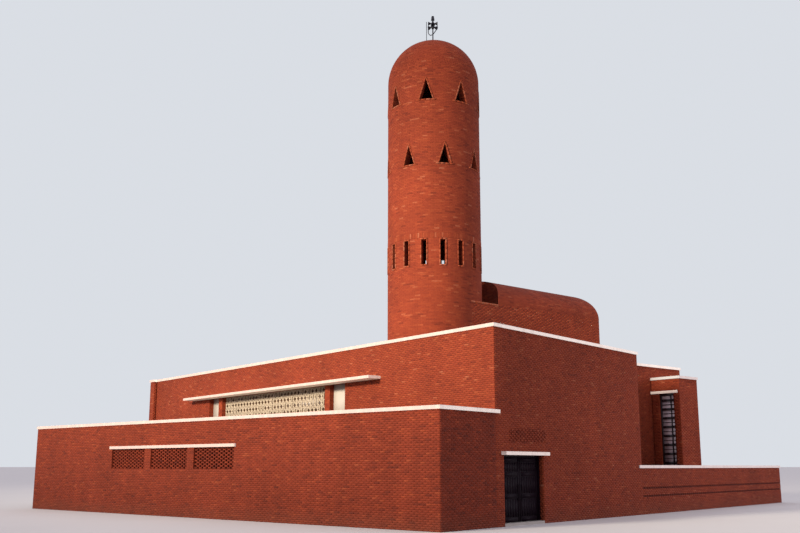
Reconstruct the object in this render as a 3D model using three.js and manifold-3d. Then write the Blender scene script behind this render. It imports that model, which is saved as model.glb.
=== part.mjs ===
// A brick mosque: single-storey front block, tall hall with a strip window, round tower with a dome,
// barrel vault beside the tower, window bay and compound wall. Millimetres, +Z up, ground at z = 0.
// The front block and the entrance face follow X and Y; the hall behind them is turned by HALL_TURN.
// The exported group stands on the ground with its origin under the middle of the whole plan.

import * as THREE from 'three';
import { mergeVertices } from 'three/addons/utils/BufferGeometryUtils.js';
import Module from 'manifold-3d';

const wasm = await Module();
wasm.setup();

// Walls, copings and the small joint left where a piece is cut by its neighbour
const GAP = 0.3;
const WALL = 350;
const SIDE_WALL = 460;
const COPING = 130;
const COPING_PROUD = 50;
const FLOOR_TOP = 100;
const CUT = 100;

// Front block
const LOWER_LENGTH = 26180;
const LOWER_HEIGHT = 4100;
const LOWER_SHORT_SIDE = 3200;
const LOWER_ROOF_TOP = 3780;
const LOWER_ROOF_THICK = 180;
const COPING_LAP = 270;

// Brick screens of the front block, measured from the front corner
const SCREEN_STARTS = [10490, 13570, 16630];
const SCREEN_WIDTH = 2605;
const SCREEN_BOTTOM = 2000;
const SCREEN_TOP = 2880;
const SCREEN_RECESS = 60;
const SCREEN_THICK = 115;
const SCREEN_COLUMNS = 8;
const SCREEN_ROWS = 5;
const SCREEN_HOLE = [150, 95];
const SCREEN_LINTEL = { start: 10370, end: 19360, thick: 125, proud: 80 };

// Hall
const HALL_TURN = THREE.MathUtils.degToRad(10.5);
const HALL_HEIGHT = 7230;
const HALL_LENGTH = 29150;
const HALL_WIDTH = 18600;
const HALL_FLANK = 4840;
const ENTRANCE_FACE_END = 14585;
const ROOF_TOP = 6950;
const ROOF_THICK = 200;
const PILASTER = { width: 500, proud: 200 };

// Strip window of the hall, with its canopy
const WINDOW = { start: 9200, end: 21800, bottom: 4200, top: 5680, recess: 240 };
const WINDOW_SCREEN_THICK = 80;
const LATTICE = { start: 10790, end: 20400, columns: 16, rows: 3, halfWidth: 225, halfHeight: 250 };
const WINDOW_PIER_WIDTH = 400;
const WINDOW_PIER_FRONT = 20;
const CANOPY = { start: 6660, end: 23730, reach: 640, thick: 120 };
const BACK_WINDOW_SHIFT = 1500;

// Entrance door
const DOORWAY = { start: 3700, end: 6340, head: 2500 };
const DOOR_LINTEL = { beyond: 150, reach: 220, thick: 125 };
const DOOR_JAMB_DEPTH = 450;
const FRAME = { width: 70, depth: 100, back: -290 };
const LEAF = { thick: 45, sideGap: 6, middleGap: 8, floorGap: 10, headGap: 6 };
const HINGE = { radius: 12, offset: 14, knuckle: 60, plate: 34, plateThick: 6, heights: [320, 1220, 2120] };
const PULL = { radius: 14, reach: 60, bottom: 850, top: 1450, inset: 110 };

// Round tower
const TOWER = { x: -6210, y: 7650, radius: 2100, wall: 350, segments: 64 };
const SLOTS = { count: 16, phase: 3.45, width: 220, bottom: 10600, top: 11700 };
const LOWER_TRIANGLES = { count: 8, phase: 6.9, width: 530, bottom: 15140, top: 16030 };
const UPPER_TRIANGLES = { count: 8, phase: 29.4, width: 600, bottom: 18100, top: 19050 };
const SLOT_RING_BOTTOM = 10350;
const LOWER_TRIANGLE_RING_BOTTOM = 14900;
const UPPER_TRIANGLE_RING_BOTTOM = 17800;
const DOME_SPRING = 19570;
const DOME_WALL = 250;
const DOME_ROWS = 14;

// Finial: pole with forked bracket and knob, horn cluster, lightning rod
const POLE = { radius: 28, top: 23110, knobBottom: 22920, knobFoot: 85, knobHead: 60 };
const FORK = { bottom: 22190, elbow: 22500, top: 22640, leftReach: 215, rightReach: 205, radius: 20 };
const HORNS = { bottom: 22480, top: 22840, hub: 55, reach: 225, mouth: 95, throat: 34, lip: 12 };
const HORN_TIERS = [
  { height: 22745, turns: [0, 180, 270] },
  { height: 22575, turns: [90, 210, 330] },
];
const ROD = { radius: 14, reach: 300, top: 22830 };
const PHOTO_LEFT_DEGREES = 220.5;

// Barrel vault over the entrance end of the hall, and the box that it stands on
const VAULT = { left: 10580, start: 3500, end: 12080, spring: 9140, rise: 1540, shell: 200 };
const VAULT_CLEAR_OF_TOWER = 2820;
const VAULT_CLOSURE = 200;
const VAULT_STEP = 10150;
const LEDGE_THICK = 150;
const VAULT_WELL = { start: 6000, end: 11500, margin: 600 };

// Window bay and compound wall
const BAY = { front: 3200, start: 16050, end: 17600, height: 6540, wall: 230 };
const BAY_WINDOW = { start: 450, width: 850, bottom: 900, top: 5690 };
const BAY_FRAME = { bar: 45, depth: 60, mullion: 0.72, rows: 6 };
const BAY_LINTEL = { bottom: 5700, thick: 130, proud: 80, shortOfCorner: 90 };
const LOW_WALL = { thick: 230, height: 2150, end: 32700 };
const GROOVES = [790, 1140];
const GROOVE = { height: 80, depth: 45 };

// Materials
const brickRed = { color: 0xa3492c, roughness: 0.88, metalness: 0 };
const brickDark = { color: 0x8f3f2a, roughness: 0.9, metalness: 0 };
const whitePaint = { color: 0xe6ddcf, roughness: 0.7, metalness: 0 };
const concrete = { color: 0xb9b3a8, roughness: 0.85, metalness: 0 };
const doorPaint = { color: 0x1d141c, roughness: 0.5, metalness: 0 };
const darkMetal = { color: 0x3c3f46, roughness: 0.45, metalness: 0.7 };

// The X, Y plane of a drawing stood upright: drawing X stays X, drawing Y becomes height
const upright = new THREE.Matrix4().set(1, 0, 0, 0, 0, 0, -1, 0, 0, 1, 0, 0, 0, 0, 0, 1);

const plain = new THREE.Group();
const hall = new THREE.Group();
hall.position.set(0, LOWER_SHORT_SIDE, 0);
hall.rotation.z = -HALL_TURN;
plain.add(hall);

// Straight lines of the plan as {normal, distance}, all in the unturned frame
const hallCorner = new THREE.Vector2(0, LOWER_SHORT_SIDE);
const alongHall = new THREE.Vector2(-Math.cos(HALL_TURN), Math.sin(HALL_TURN));
const acrossHall = new THREE.Vector2(Math.sin(HALL_TURN), Math.cos(HALL_TURN));

function lineX(x) {
  return { normal: new THREE.Vector2(1, 0), distance: x };
}

function lineY(y) {
  return { normal: new THREE.Vector2(0, 1), distance: y };
}

function lineAlong(u) {
  return { normal: alongHall, distance: u + alongHall.dot(hallCorner) };
}

function lineAcross(v) {
  return { normal: acrossHall, distance: v + acrossHall.dot(hallCorner) };
}

function meet(first, second) {
  const determinant = first.normal.x * second.normal.y - first.normal.y * second.normal.x;
  const x = (first.distance * second.normal.y - second.distance * first.normal.y) / determinant;
  const y = (second.distance * first.normal.x - first.distance * second.normal.x) / determinant;
  return new THREE.Vector2(x, y);
}

// A plan point of the unturned frame in the hall's own frame, where x = -u and y = v
function inHall(point) {
  const fromCorner = point.clone().sub(hallCorner);
  return new THREE.Vector2(-fromCorner.dot(alongHall), fromCorner.dot(acrossHall));
}

function solidOf(geometry) {
  const bare = geometry.clone();
  bare.deleteAttribute('normal');
  bare.deleteAttribute('uv');
  const merged = mergeVertices(bare, 1e-3);
  const vertProperties = new Float32Array(merged.attributes.position.array);
  const triVerts = new Uint32Array(merged.index.array);
  const solid = new wasm.Manifold(new wasm.Mesh({ numProp: 3, vertProperties, triVerts }));
  if (solid.volume() > 0) {
    return solid;
  }
  for (let i = 0; i < triVerts.length; i += 3) {
    [triVerts[i + 1], triVerts[i + 2]] = [triVerts[i + 2], triVerts[i + 1]];
  }
  return new wasm.Manifold(new wasm.Mesh({ numProp: 3, vertProperties, triVerts }));
}

function geometryOf(solid) {
  const mesh = solid.getMesh();
  const geometry = new THREE.BufferGeometry();
  geometry.setAttribute('position', new THREE.BufferAttribute(new Float32Array(mesh.vertProperties), 3));
  geometry.setIndex(new THREE.BufferAttribute(new Uint32Array(mesh.triVerts), 1));
  geometry.computeVertexNormals();
  return geometry;
}

function add(name, geometry, look, parent = plain) {
  const mesh = new THREE.Mesh(geometry, new THREE.MeshStandardMaterial(look));
  mesh.name = name;
  parent.add(mesh);
  return mesh;
}

function shapeOf(points) {
  return new THREE.Shape(points.map((p) => (p.isVector2 ? p : new THREE.Vector2(p[0], p[1]))));
}

function circlePoints(radius, centre, segments) {
  const points = [];
  for (let i = 0; i < segments; i += 1) {
    const angle = (2 * Math.PI * i) / segments;
    points.push(new THREE.Vector2(centre.x + radius * Math.cos(angle), centre.y + radius * Math.sin(angle)));
  }
  return points;
}

function rectanglePoints(x0, y0, x1, y1) {
  return [[x0, y0], [x1, y0], [x1, y1], [x0, y1]];
}

// A plan outline raised from one height to another
function raised(outline, bottom, top, holes = []) {
  const shape = shapeOf(outline);
  for (const hole of holes) {
    shape.holes.push(shapeOf(hole));
  }
  const geometry = new THREE.ExtrudeGeometry(shape, { depth: top - bottom, bevelEnabled: false });
  geometry.translate(0, 0, bottom);
  return geometry;
}

// An elevation drawn in X and height, with its front face at y and its back at y + thick
function elevation(outline, y, thick, holes = []) {
  const geometry = raised(outline, 0, thick, holes);
  geometry.applyMatrix4(upright);
  geometry.translate(0, y + thick, 0);
  return geometry;
}

// An upright plate with many holes, each cut out in turn
function pierced(outline, y, thick, holes) {
  let plate = solidOf(elevation(outline, y, thick));
  for (const hole of holes) {
    plate = plate.subtract(solidOf(elevation(hole, y - CUT, thick + 2 * CUT)));
  }
  return geometryOf(plate);
}

function block(x0, x1, y0, y1, z0, z1) {
  const geometry = new THREE.BoxGeometry(x1 - x0, y1 - y0, z1 - z0);
  geometry.translate((x0 + x1) / 2, (y0 + y1) / 2, (z0 + z1) / 2);
  return geometry;
}

function ringOf(outer, inner, bottom, top) {
  const profile = [
    new THREE.Vector2(outer, bottom),
    new THREE.Vector2(outer, top),
    new THREE.Vector2(inner, top),
    new THREE.Vector2(inner, bottom),
    new THREE.Vector2(outer, bottom),
  ];
  const geometry = new THREE.LatheGeometry(profile, TOWER.segments);
  geometry.applyMatrix4(upright);
  return geometry;
}

function drumOf(radius, bottom, top, segments = TOWER.segments) {
  const geometry = new THREE.CylinderGeometry(radius, radius, top - bottom, segments);
  geometry.applyMatrix4(upright);
  geometry.translate(0, 0, (bottom + top) / 2);
  return geometry;
}

// Front block

function addFrontBlock() {
  const wallTop = LOWER_HEIGHT - COPING;
  const lintelTop = SCREEN_TOP + SCREEN_LINTEL.thick;
  const opening = [[-SCREEN_LINTEL.start, lintelTop], [-SCREEN_LINTEL.start, SCREEN_TOP]];
  for (const start of SCREEN_STARTS) {
    opening.push([-start, SCREEN_TOP]);
    opening.push([-start, SCREEN_BOTTOM]);
    opening.push([-start - SCREEN_WIDTH, SCREEN_BOTTOM]);
    opening.push([-start - SCREEN_WIDTH, SCREEN_TOP]);
  }
  opening.push([-SCREEN_LINTEL.end, SCREEN_TOP]);
  opening.push([-SCREEN_LINTEL.end, lintelTop]);
  const face = rectanglePoints(-LOWER_LENGTH, 0, 0, wallTop);
  add('long_wall', elevation(face, 0, WALL, [opening]), brickRed);

  SCREEN_STARTS.forEach((start, index) => {
    add(`brick_screen_${index + 1}`, brickScreen(-start - SCREEN_WIDTH), brickRed);
  });
  const lintel = block(-SCREEN_LINTEL.end, -SCREEN_LINTEL.start, -SCREEN_LINTEL.proud, WALL,
    SCREEN_TOP, lintelTop);
  add('screen_lintel', lintel, whitePaint);

  const hallFace = lineAcross(-GAP);
  const inner = LOWER_LENGTH - WALL;
  const endWall = [
    [-LOWER_LENGTH, WALL],
    [-inner, WALL],
    meet(lineX(-inner), hallFace),
    meet(lineX(-LOWER_LENGTH), hallFace),
  ];
  add('lower_end_wall', raised(endWall, 0, wallTop), brickRed);
  const cornerWall = [[-WALL, WALL], [0, WALL], meet(lineX(0), hallFace), meet(lineX(-WALL), hallFace)];
  add('lower_corner_wall', raised(cornerWall, 0, wallTop), brickDark);
  const roof = [[-inner, WALL], [-WALL, WALL], meet(lineX(-WALL), hallFace), meet(lineX(-inner), hallFace)];
  add('lower_roof', raised(roof, LOWER_ROOF_TOP - LOWER_ROOF_THICK, LOWER_ROOF_TOP), concrete);

  const far = LOWER_LENGTH + COPING_PROUD;
  const innerEdge = WALL + COPING_PROUD;
  const coping = [
    meet(lineX(-far), hallFace),
    [-far, -COPING_PROUD],
    [COPING_PROUD, -COPING_PROUD],
    [COPING_PROUD, LOWER_SHORT_SIDE + COPING_LAP],
    [GAP, LOWER_SHORT_SIDE + COPING_LAP],
    meet(lineX(GAP), hallFace),
    meet(lineX(-innerEdge), hallFace),
    [-innerEdge, innerEdge],
    [COPING_PROUD + innerEdge - far, innerEdge],
    meet(lineX(COPING_PROUD + innerEdge - far), hallFace),
  ];
  add('lower_coping', raised(coping, wallTop, LOWER_HEIGHT), whitePaint);
}

// One panel of open brickwork: holes in rows that are staggered by half a hole
function brickScreen(left) {
  const right = left + SCREEN_WIDTH;
  const columnPitch = SCREEN_WIDTH / SCREEN_COLUMNS;
  const rowPitch = (SCREEN_TOP - SCREEN_BOTTOM) / SCREEN_ROWS;
  const [holeWidth, holeHeight] = SCREEN_HOLE;
  const holes = [];
  for (let row = 0; row < SCREEN_ROWS; row += 1) {
    const shift = row % 2;
    const z = SCREEN_BOTTOM + (row + 0.5) * rowPitch;
    for (let column = 0; column < SCREEN_COLUMNS - shift; column += 1) {
      const x = left + (column + 0.5 + shift / 2) * columnPitch;
      holes.push(rectanglePoints(x - holeWidth / 2, z - holeHeight / 2, x + holeWidth / 2, z + holeHeight / 2));
    }
  }
  const panel = rectanglePoints(left + GAP, SCREEN_BOTTOM + GAP, right - GAP, SCREEN_TOP - GAP);
  return pierced(panel, SCREEN_RECESS, SCREEN_THICK, holes);
}

// Hall walls and the strip windows

function windowHole(start, end, y) {
  return solidOf(block(-end, -start, y - CUT, y + SIDE_WALL + CUT, WINDOW.bottom, WINDOW.top));
}

// White plate with a lattice of diamond holes between the two piers
function latticePlate(shift, y) {
  const width = LATTICE.end - LATTICE.start;
  const columnPitch = width / LATTICE.columns;
  const rowPitch = (WINDOW.top - WINDOW.bottom) / (LATTICE.rows + 1);
  const holes = [];
  for (let row = 0; row < LATTICE.rows; row += 1) {
    const stagger = row % 2;
    const z = WINDOW.bottom + (row + 1) * rowPitch;
    for (let column = 0; column < LATTICE.columns - stagger; column += 1) {
      const x = -shift - LATTICE.end + (column + 0.5 + stagger / 2) * columnPitch;
      holes.push([
        [x - LATTICE.halfWidth, z],
        [x, z - LATTICE.halfHeight],
        [x + LATTICE.halfWidth, z],
        [x, z + LATTICE.halfHeight],
      ]);
    }
  }
  const plate = rectanglePoints(-shift - WINDOW.end + GAP, WINDOW.bottom + GAP,
    -shift - WINDOW.start - GAP, WINDOW.top - GAP);
  return pierced(plate, y, WINDOW_SCREEN_THICK, holes);
}

function addHallWalls() {
  const wallTop = HALL_HEIGHT - COPING;
  const jambCorner = meet(lineX(-DOOR_JAMB_DEPTH), lineAcross(SIDE_WALL));
  const sideWall = [
    [0, 0],
    [PILASTER.width - HALL_LENGTH, 0],
    [PILASTER.width - HALL_LENGTH, -PILASTER.proud],
    [-HALL_LENGTH, -PILASTER.proud],
    [-HALL_LENGTH, SIDE_WALL],
    inHall(jambCorner),
    inHall(new THREE.Vector2(-DOOR_JAMB_DEPTH, DOORWAY.start)),
    inHall(new THREE.Vector2(0, DOORWAY.start)),
  ];
  const sideSolid = solidOf(raised(sideWall, 0, wallTop));
  add('side_wall', geometryOf(sideSolid.subtract(windowHole(WINDOW.start, WINDOW.end, 0))), brickRed, hall);
  add('window_screen', latticePlate(0, WINDOW.recess), whitePaint, hall);
  const rightPier = LATTICE.start - WINDOW_PIER_WIDTH;
  for (const [side, u] of [['right', rightPier], ['left', LATTICE.end]]) {
    const pier = block(-u - WINDOW_PIER_WIDTH, -u, WINDOW_PIER_FRONT, WINDOW.recess - GAP,
      WINDOW.bottom + GAP, WINDOW.top - GAP);
    add(`window_pier_${side}`, pier, brickRed, hall);
  }
  const canopy = block(-CANOPY.end, -CANOPY.start, -CANOPY.reach, -GAP,
    WINDOW.top, WINDOW.top + CANOPY.thick);
  add('canopy', canopy, whitePaint, hall);

  add('door_head_wall', block(-WALL, 0, DOORWAY.start + GAP, DOORWAY.end, DOORWAY.head, wallTop), brickDark);
  add('door_wall', block(-WALL, 0, DOORWAY.end, ENTRANCE_FACE_END, 0, wallTop), brickDark);
  const returnInner = lineY(ENTRANCE_FACE_END - WALL);
  const returnOuter = lineY(ENTRANCE_FACE_END);
  const flankInner = lineAlong(HALL_FLANK + WALL);
  const returnWall = [
    meet(lineX(-WALL), returnInner),
    meet(lineX(-WALL), returnOuter),
    meet(flankInner, returnOuter),
    meet(flankInner, returnInner),
  ];
  add('return_wall', raised(returnWall, 0, wallTop), brickDark);

  const clearOfReturn = lineY(ENTRANCE_FACE_END + GAP);
  const hallWall = [
    inHall(meet(lineAlong(HALL_FLANK), clearOfReturn)),
    [-HALL_FLANK, HALL_WIDTH],
    [-HALL_FLANK - WALL, HALL_WIDTH],
    inHall(meet(flankInner, clearOfReturn)),
  ];
  const bayOpening = block(-HALL_FLANK - WALL - CUT, -HALL_FLANK + CUT, BAY.start + BAY.wall,
    BAY.end - BAY.wall, FLOOR_TOP, BAY_WINDOW.top);
  const hallWallSolid = solidOf(raised(hallWall, 0, wallTop)).subtract(solidOf(bayOpening));
  add('hall_wall', geometryOf(hallWallSolid), brickDark, hall);

  const backShift = BACK_WINDOW_SHIFT;
  const backWall = block(WALL - HALL_LENGTH + GAP, -HALL_FLANK - WALL - GAP, HALL_WIDTH - WALL, HALL_WIDTH,
    0, wallTop);
  const backHole = windowHole(WINDOW.start + backShift, WINDOW.end + backShift, HALL_WIDTH - SIDE_WALL);
  add('back_wall', geometryOf(solidOf(backWall).subtract(backHole)), brickDark, hall);
  const backScreenY = HALL_WIDTH - WINDOW.recess - WINDOW_SCREEN_THICK;
  add('back_screen', latticePlate(backShift, backScreenY), whitePaint, hall);
  const backCanopy = block(-CANOPY.end - backShift, -CANOPY.start - backShift, HALL_WIDTH + GAP,
    HALL_WIDTH + CANOPY.reach, WINDOW.top, WINDOW.top + CANOPY.thick);
  add('back_canopy', backCanopy, whitePaint, hall);
  const farWall = block(-HALL_LENGTH, WALL - HALL_LENGTH, SIDE_WALL + GAP, HALL_WIDTH, 0, wallTop);
  add('far_wall', farWall, brickDark, hall);
}

// Inside outline of the hall; startX is how far it reaches towards the doorway
function insideOutline(startX, doorEnd) {
  const doorSide = DOORWAY.start + GAP;
  const outline = [new THREE.Vector2(startX, doorSide)];
  if (startX > -WALL - GAP) {
    outline.push(new THREE.Vector2(startX, doorEnd));
    outline.push(new THREE.Vector2(-WALL - GAP, doorEnd));
  }
  const returnFace = lineY(ENTRANCE_FACE_END - WALL - GAP);
  const flankFace = lineAlong(HALL_FLANK + WALL + GAP);
  const backFace = lineAcross(HALL_WIDTH - WALL - GAP);
  const farFace = lineAlong(HALL_LENGTH - WALL - GAP);
  const sideFace = lineAcross(SIDE_WALL + GAP);
  outline.push(meet(lineX(-WALL - GAP), returnFace));
  outline.push(meet(flankFace, returnFace));
  outline.push(meet(flankFace, backFace));
  outline.push(meet(farFace, backFace));
  outline.push(meet(farFace, sideFace));
  outline.push(meet(lineX(GAP - DOOR_JAMB_DEPTH), sideFace));
  outline.push(new THREE.Vector2(GAP - DOOR_JAMB_DEPTH, doorSide));
  return outline;
}

function addFloorAndRoof() {
  const towerHole = circlePoints(TOWER.radius + GAP, TOWER, TOWER.segments);
  const floor = insideOutline(0, DOORWAY.end - GAP);
  add('floor', raised(floor, 0, FLOOR_TOP, [towerHole]), concrete);
  const nearSide = HALL_FLANK + VAULT_WELL.margin;
  const farSide = VAULT.left - VAULT_WELL.margin;
  const well = [
    meet(lineAlong(nearSide), lineAcross(VAULT_WELL.start)),
    meet(lineAlong(nearSide), lineAcross(VAULT_WELL.end)),
    meet(lineAlong(farSide), lineAcross(VAULT_WELL.end)),
    meet(lineAlong(farSide), lineAcross(VAULT_WELL.start)),
  ];
  const roof = insideOutline(-WALL - GAP, DOORWAY.end);
  add('roof', raised(roof, ROOF_TOP - ROOF_THICK, ROOF_TOP, [towerHole, well]), concrete);

  const proud = COPING_PROUD;
  const outer = [
    meet(lineAcross(-proud), lineX(proud)),
    meet(lineX(proud), lineY(ENTRANCE_FACE_END + proud)),
    meet(lineY(ENTRANCE_FACE_END + proud), lineAlong(HALL_FLANK - proud)),
    meet(lineAlong(HALL_FLANK - proud), lineAcross(HALL_WIDTH + proud)),
    meet(lineAcross(HALL_WIDTH + proud), lineAlong(HALL_LENGTH + proud)),
    meet(lineAlong(HALL_LENGTH + proud), lineAcross(-PILASTER.proud - proud)),
    meet(lineAcross(-PILASTER.proud - proud), lineAlong(HALL_LENGTH - PILASTER.width - proud)),
    meet(lineAlong(HALL_LENGTH - PILASTER.width - proud), lineAcross(-proud)),
  ];
  const inside = WALL + proud;
  const inner = [
    meet(lineAcross(SIDE_WALL + proud), lineX(-inside)),
    meet(lineX(-inside), lineY(ENTRANCE_FACE_END - inside)),
    meet(lineY(ENTRANCE_FACE_END - inside), lineAlong(HALL_FLANK + inside)),
    meet(lineAlong(HALL_FLANK + inside), lineAcross(HALL_WIDTH - inside)),
    meet(lineAcross(HALL_WIDTH - inside), lineAlong(HALL_LENGTH - inside)),
    meet(lineAlong(HALL_LENGTH - inside), lineAcross(SIDE_WALL + proud)),
  ];
  add('upper_coping', raised(outer, HALL_HEIGHT - COPING, HALL_HEIGHT, [inner]), whitePaint);
}

// Entrance door: frame, two leaves on lift-off hinges, lintel slab

function addEntranceDoor() {
  const lintel = block(GAP, DOOR_LINTEL.reach, DOORWAY.start - DOOR_LINTEL.beyond,
    DOORWAY.end + DOOR_LINTEL.beyond, DOORWAY.head, DOORWAY.head + DOOR_LINTEL.thick);
  add('door_lintel', lintel, whitePaint);

  const front = FRAME.back + FRAME.depth;
  const left = DOORWAY.start + GAP;
  const right = DOORWAY.end - GAP;
  const innerLeft = DOORWAY.start + FRAME.width;
  const innerRight = DOORWAY.end - FRAME.width;
  const innerTop = DOORWAY.head - FRAME.width;
  let frame = solidOf(block(FRAME.back, front, left, right, FLOOR_TOP, DOORWAY.head));
  frame = frame.subtract(solidOf(block(FRAME.back - CUT, front + CUT, innerLeft, innerRight,
    FLOOR_TOP - CUT, innerTop)));

  const leafWidth = (innerRight - innerLeft - 2 * LEAF.sideGap - LEAF.middleGap) / 2;
  const leafBottom = FLOOR_TOP + LEAF.floorGap;
  const leafTop = innerTop - LEAF.headGap;
  const axisX = FRAME.back - HINGE.offset;
  const sides = [
    { name: 'door_left', towards: 1, jamb: innerLeft },
    { name: 'door_right', towards: -1, jamb: innerRight },
  ];
  for (const { name, towards, jamb } of sides) {
    const hinged = jamb + towards * LEAF.sideGap;
    const free = hinged + towards * leafWidth;
    const axisY = jamb + (towards * LEAF.sideGap) / 2;
    let leaf = solidOf(block(FRAME.back, FRAME.back + LEAF.thick, Math.min(hinged, free),
      Math.max(hinged, free), leafBottom, leafTop));
    for (const height of HINGE.heights) {
      const low = height + HINGE.knuckle;
      frame = frame.add(knuckle(axisX, axisY, height, low));
      frame = frame.add(hingePlate(jamb, -towards, height, low));
      leaf = leaf.add(knuckle(axisX, axisY, low + GAP, low + HINGE.knuckle));
      leaf = leaf.add(hingePlate(hinged, towards, low + GAP, low + HINGE.knuckle));
    }
    leaf = leaf.add(pullHandle(free - towards * PULL.inset));
    add(name, geometryOf(leaf), doorPaint);
  }
  add('door_frame', geometryOf(frame), doorPaint);
}

function knuckle(x, y, bottom, top) {
  const geometry = drumOf(HINGE.radius, bottom, top, 16);
  geometry.translate(x, y, 0);
  return solidOf(geometry);
}

// The plate ties a knuckle to the jamb or the leaf behind whose face it lies
function hingePlate(edge, towards, bottom, top) {
  const start = edge - towards * (LEAF.sideGap / 2 - HINGE.plateThick / 4);
  const end = edge + towards * HINGE.plate;
  return solidOf(block(FRAME.back - HINGE.plateThick, FRAME.back + HINGE.plateThick / 2,
    Math.min(start, end), Math.max(start, end), bottom, top));
}

function pullHandle(y) {
  const leafFace = FRAME.back + LEAF.thick;
  const barX = leafFace + PULL.reach - PULL.radius;
  const bar = drumOf(PULL.radius, PULL.bottom, PULL.top, 12);
  bar.translate(barX, y, 0);
  let handle = solidOf(bar);
  for (const z of [PULL.bottom + PULL.reach, PULL.top - PULL.reach]) {
    const half = PULL.radius * 0.7;
    handle = handle.add(solidOf(block(leafFace - half, barX, y - half, y + half, z - half, z + half)));
  }
  return handle;
}

// Round tower

function placeAtTower(mesh) {
  mesh.position.set(TOWER.x, TOWER.y, 0);
}

function cutRound(ring, row, cutter) {
  let solid = ring;
  for (let i = 0; i < row.count; i += 1) {
    const piece = cutter.clone();
    piece.rotateZ(THREE.MathUtils.degToRad(row.phase + (360 * i) / row.count));
    solid = solid.subtract(solidOf(piece));
  }
  return solid;
}

// A triangle on its base, as a wedge that reaches through the wall along +X
function triangleCutter(row) {
  const shape = [[-row.width / 2, row.bottom], [row.width / 2, row.bottom], [0, row.top]];
  const geometry = elevation(shape, -TOWER.radius - CUT, TOWER.wall + 3 * CUT);
  geometry.rotateZ(Math.PI / 2);
  return geometry;
}

function domeGeometry(radius, innerRadius) {
  const profile = [];
  for (let i = 0; i <= DOME_ROWS; i += 2) {
    const angle = (Math.PI / 2) * (1 - i / DOME_ROWS);
    profile.push(new THREE.Vector2(innerRadius * Math.cos(angle), innerRadius * Math.sin(angle)));
  }
  for (let i = 0; i <= DOME_ROWS; i += 1) {
    const angle = (Math.PI / 2) * (i / DOME_ROWS);
    profile.push(new THREE.Vector2(radius * Math.cos(angle), radius * Math.sin(angle)));
  }
  profile[0].x = 0;
  profile[profile.length - 1].x = 0;
  const geometry = new THREE.LatheGeometry(profile, TOWER.segments);
  geometry.applyMatrix4(upright);
  geometry.translate(0, 0, DOME_SPRING);
  return geometry;
}

function addTower() {
  const { radius, wall } = TOWER;
  const inner = radius - wall;
  placeAtTower(add('tower_shaft', ringOf(radius, inner, 0, SLOT_RING_BOTTOM), brickRed));

  const slotRing = solidOf(ringOf(radius, inner, SLOT_RING_BOTTOM, LOWER_TRIANGLE_RING_BOTTOM));
  const slotCutter = block(inner - CUT, radius + CUT, -SLOTS.width / 2, SLOTS.width / 2,
    SLOTS.bottom, SLOTS.top);
  placeAtTower(add('slot_ring', geometryOf(cutRound(slotRing, SLOTS, slotCutter)), brickRed));

  const rings = [
    ['lower_triangle_ring', LOWER_TRIANGLES, LOWER_TRIANGLE_RING_BOTTOM, UPPER_TRIANGLE_RING_BOTTOM],
    ['upper_triangle_ring', UPPER_TRIANGLES, UPPER_TRIANGLE_RING_BOTTOM, DOME_SPRING],
  ];
  for (const [name, row, bottom, top] of rings) {
    const ring = solidOf(ringOf(radius, inner, bottom, top));
    placeAtTower(add(name, geometryOf(cutRound(ring, row, triangleCutter(row))), brickRed));
  }
  placeAtTower(add('dome', domeGeometry(radius, radius - DOME_WALL), brickRed));
}

// Pole, horns and rod stand on the dome

function tubeThrough(points, radius) {
  const path = new THREE.CatmullRomCurve3(points, false, 'catmullrom', 0.3);
  const section = shapeOf(circlePoints(radius, { x: 0, y: 0 }, 8));
  return new THREE.ExtrudeGeometry(section, { steps: 10, bevelEnabled: false, extrudePath: path });
}

// A horn lies level, with its mouth towards a direction of the plan
function hornAt(direction, height) {
  const { hub, reach, mouth, throat, lip } = HORNS;
  const profile = [
    new THREE.Vector2(0, hub * 0.6),
    new THREE.Vector2(throat, hub * 0.6),
    new THREE.Vector2(throat, hub + 40),
    new THREE.Vector2(mouth, reach),
    new THREE.Vector2(mouth - lip, reach),
    new THREE.Vector2(throat - lip, hub + 50),
    new THREE.Vector2(0, hub + 50),
  ];
  const geometry = new THREE.LatheGeometry(profile, 20);
  geometry.rotateZ(direction - Math.PI / 2);
  geometry.translate(0, 0, height);
  return geometry;
}

function knobGeometry() {
  const height = POLE.top - POLE.knobBottom;
  const geometry = new THREE.CylinderGeometry(POLE.knobHead, POLE.knobFoot, height, 16);
  geometry.applyMatrix4(upright);
  geometry.translate(0, 0, POLE.knobBottom + height / 2);
  return geometry;
}

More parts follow.
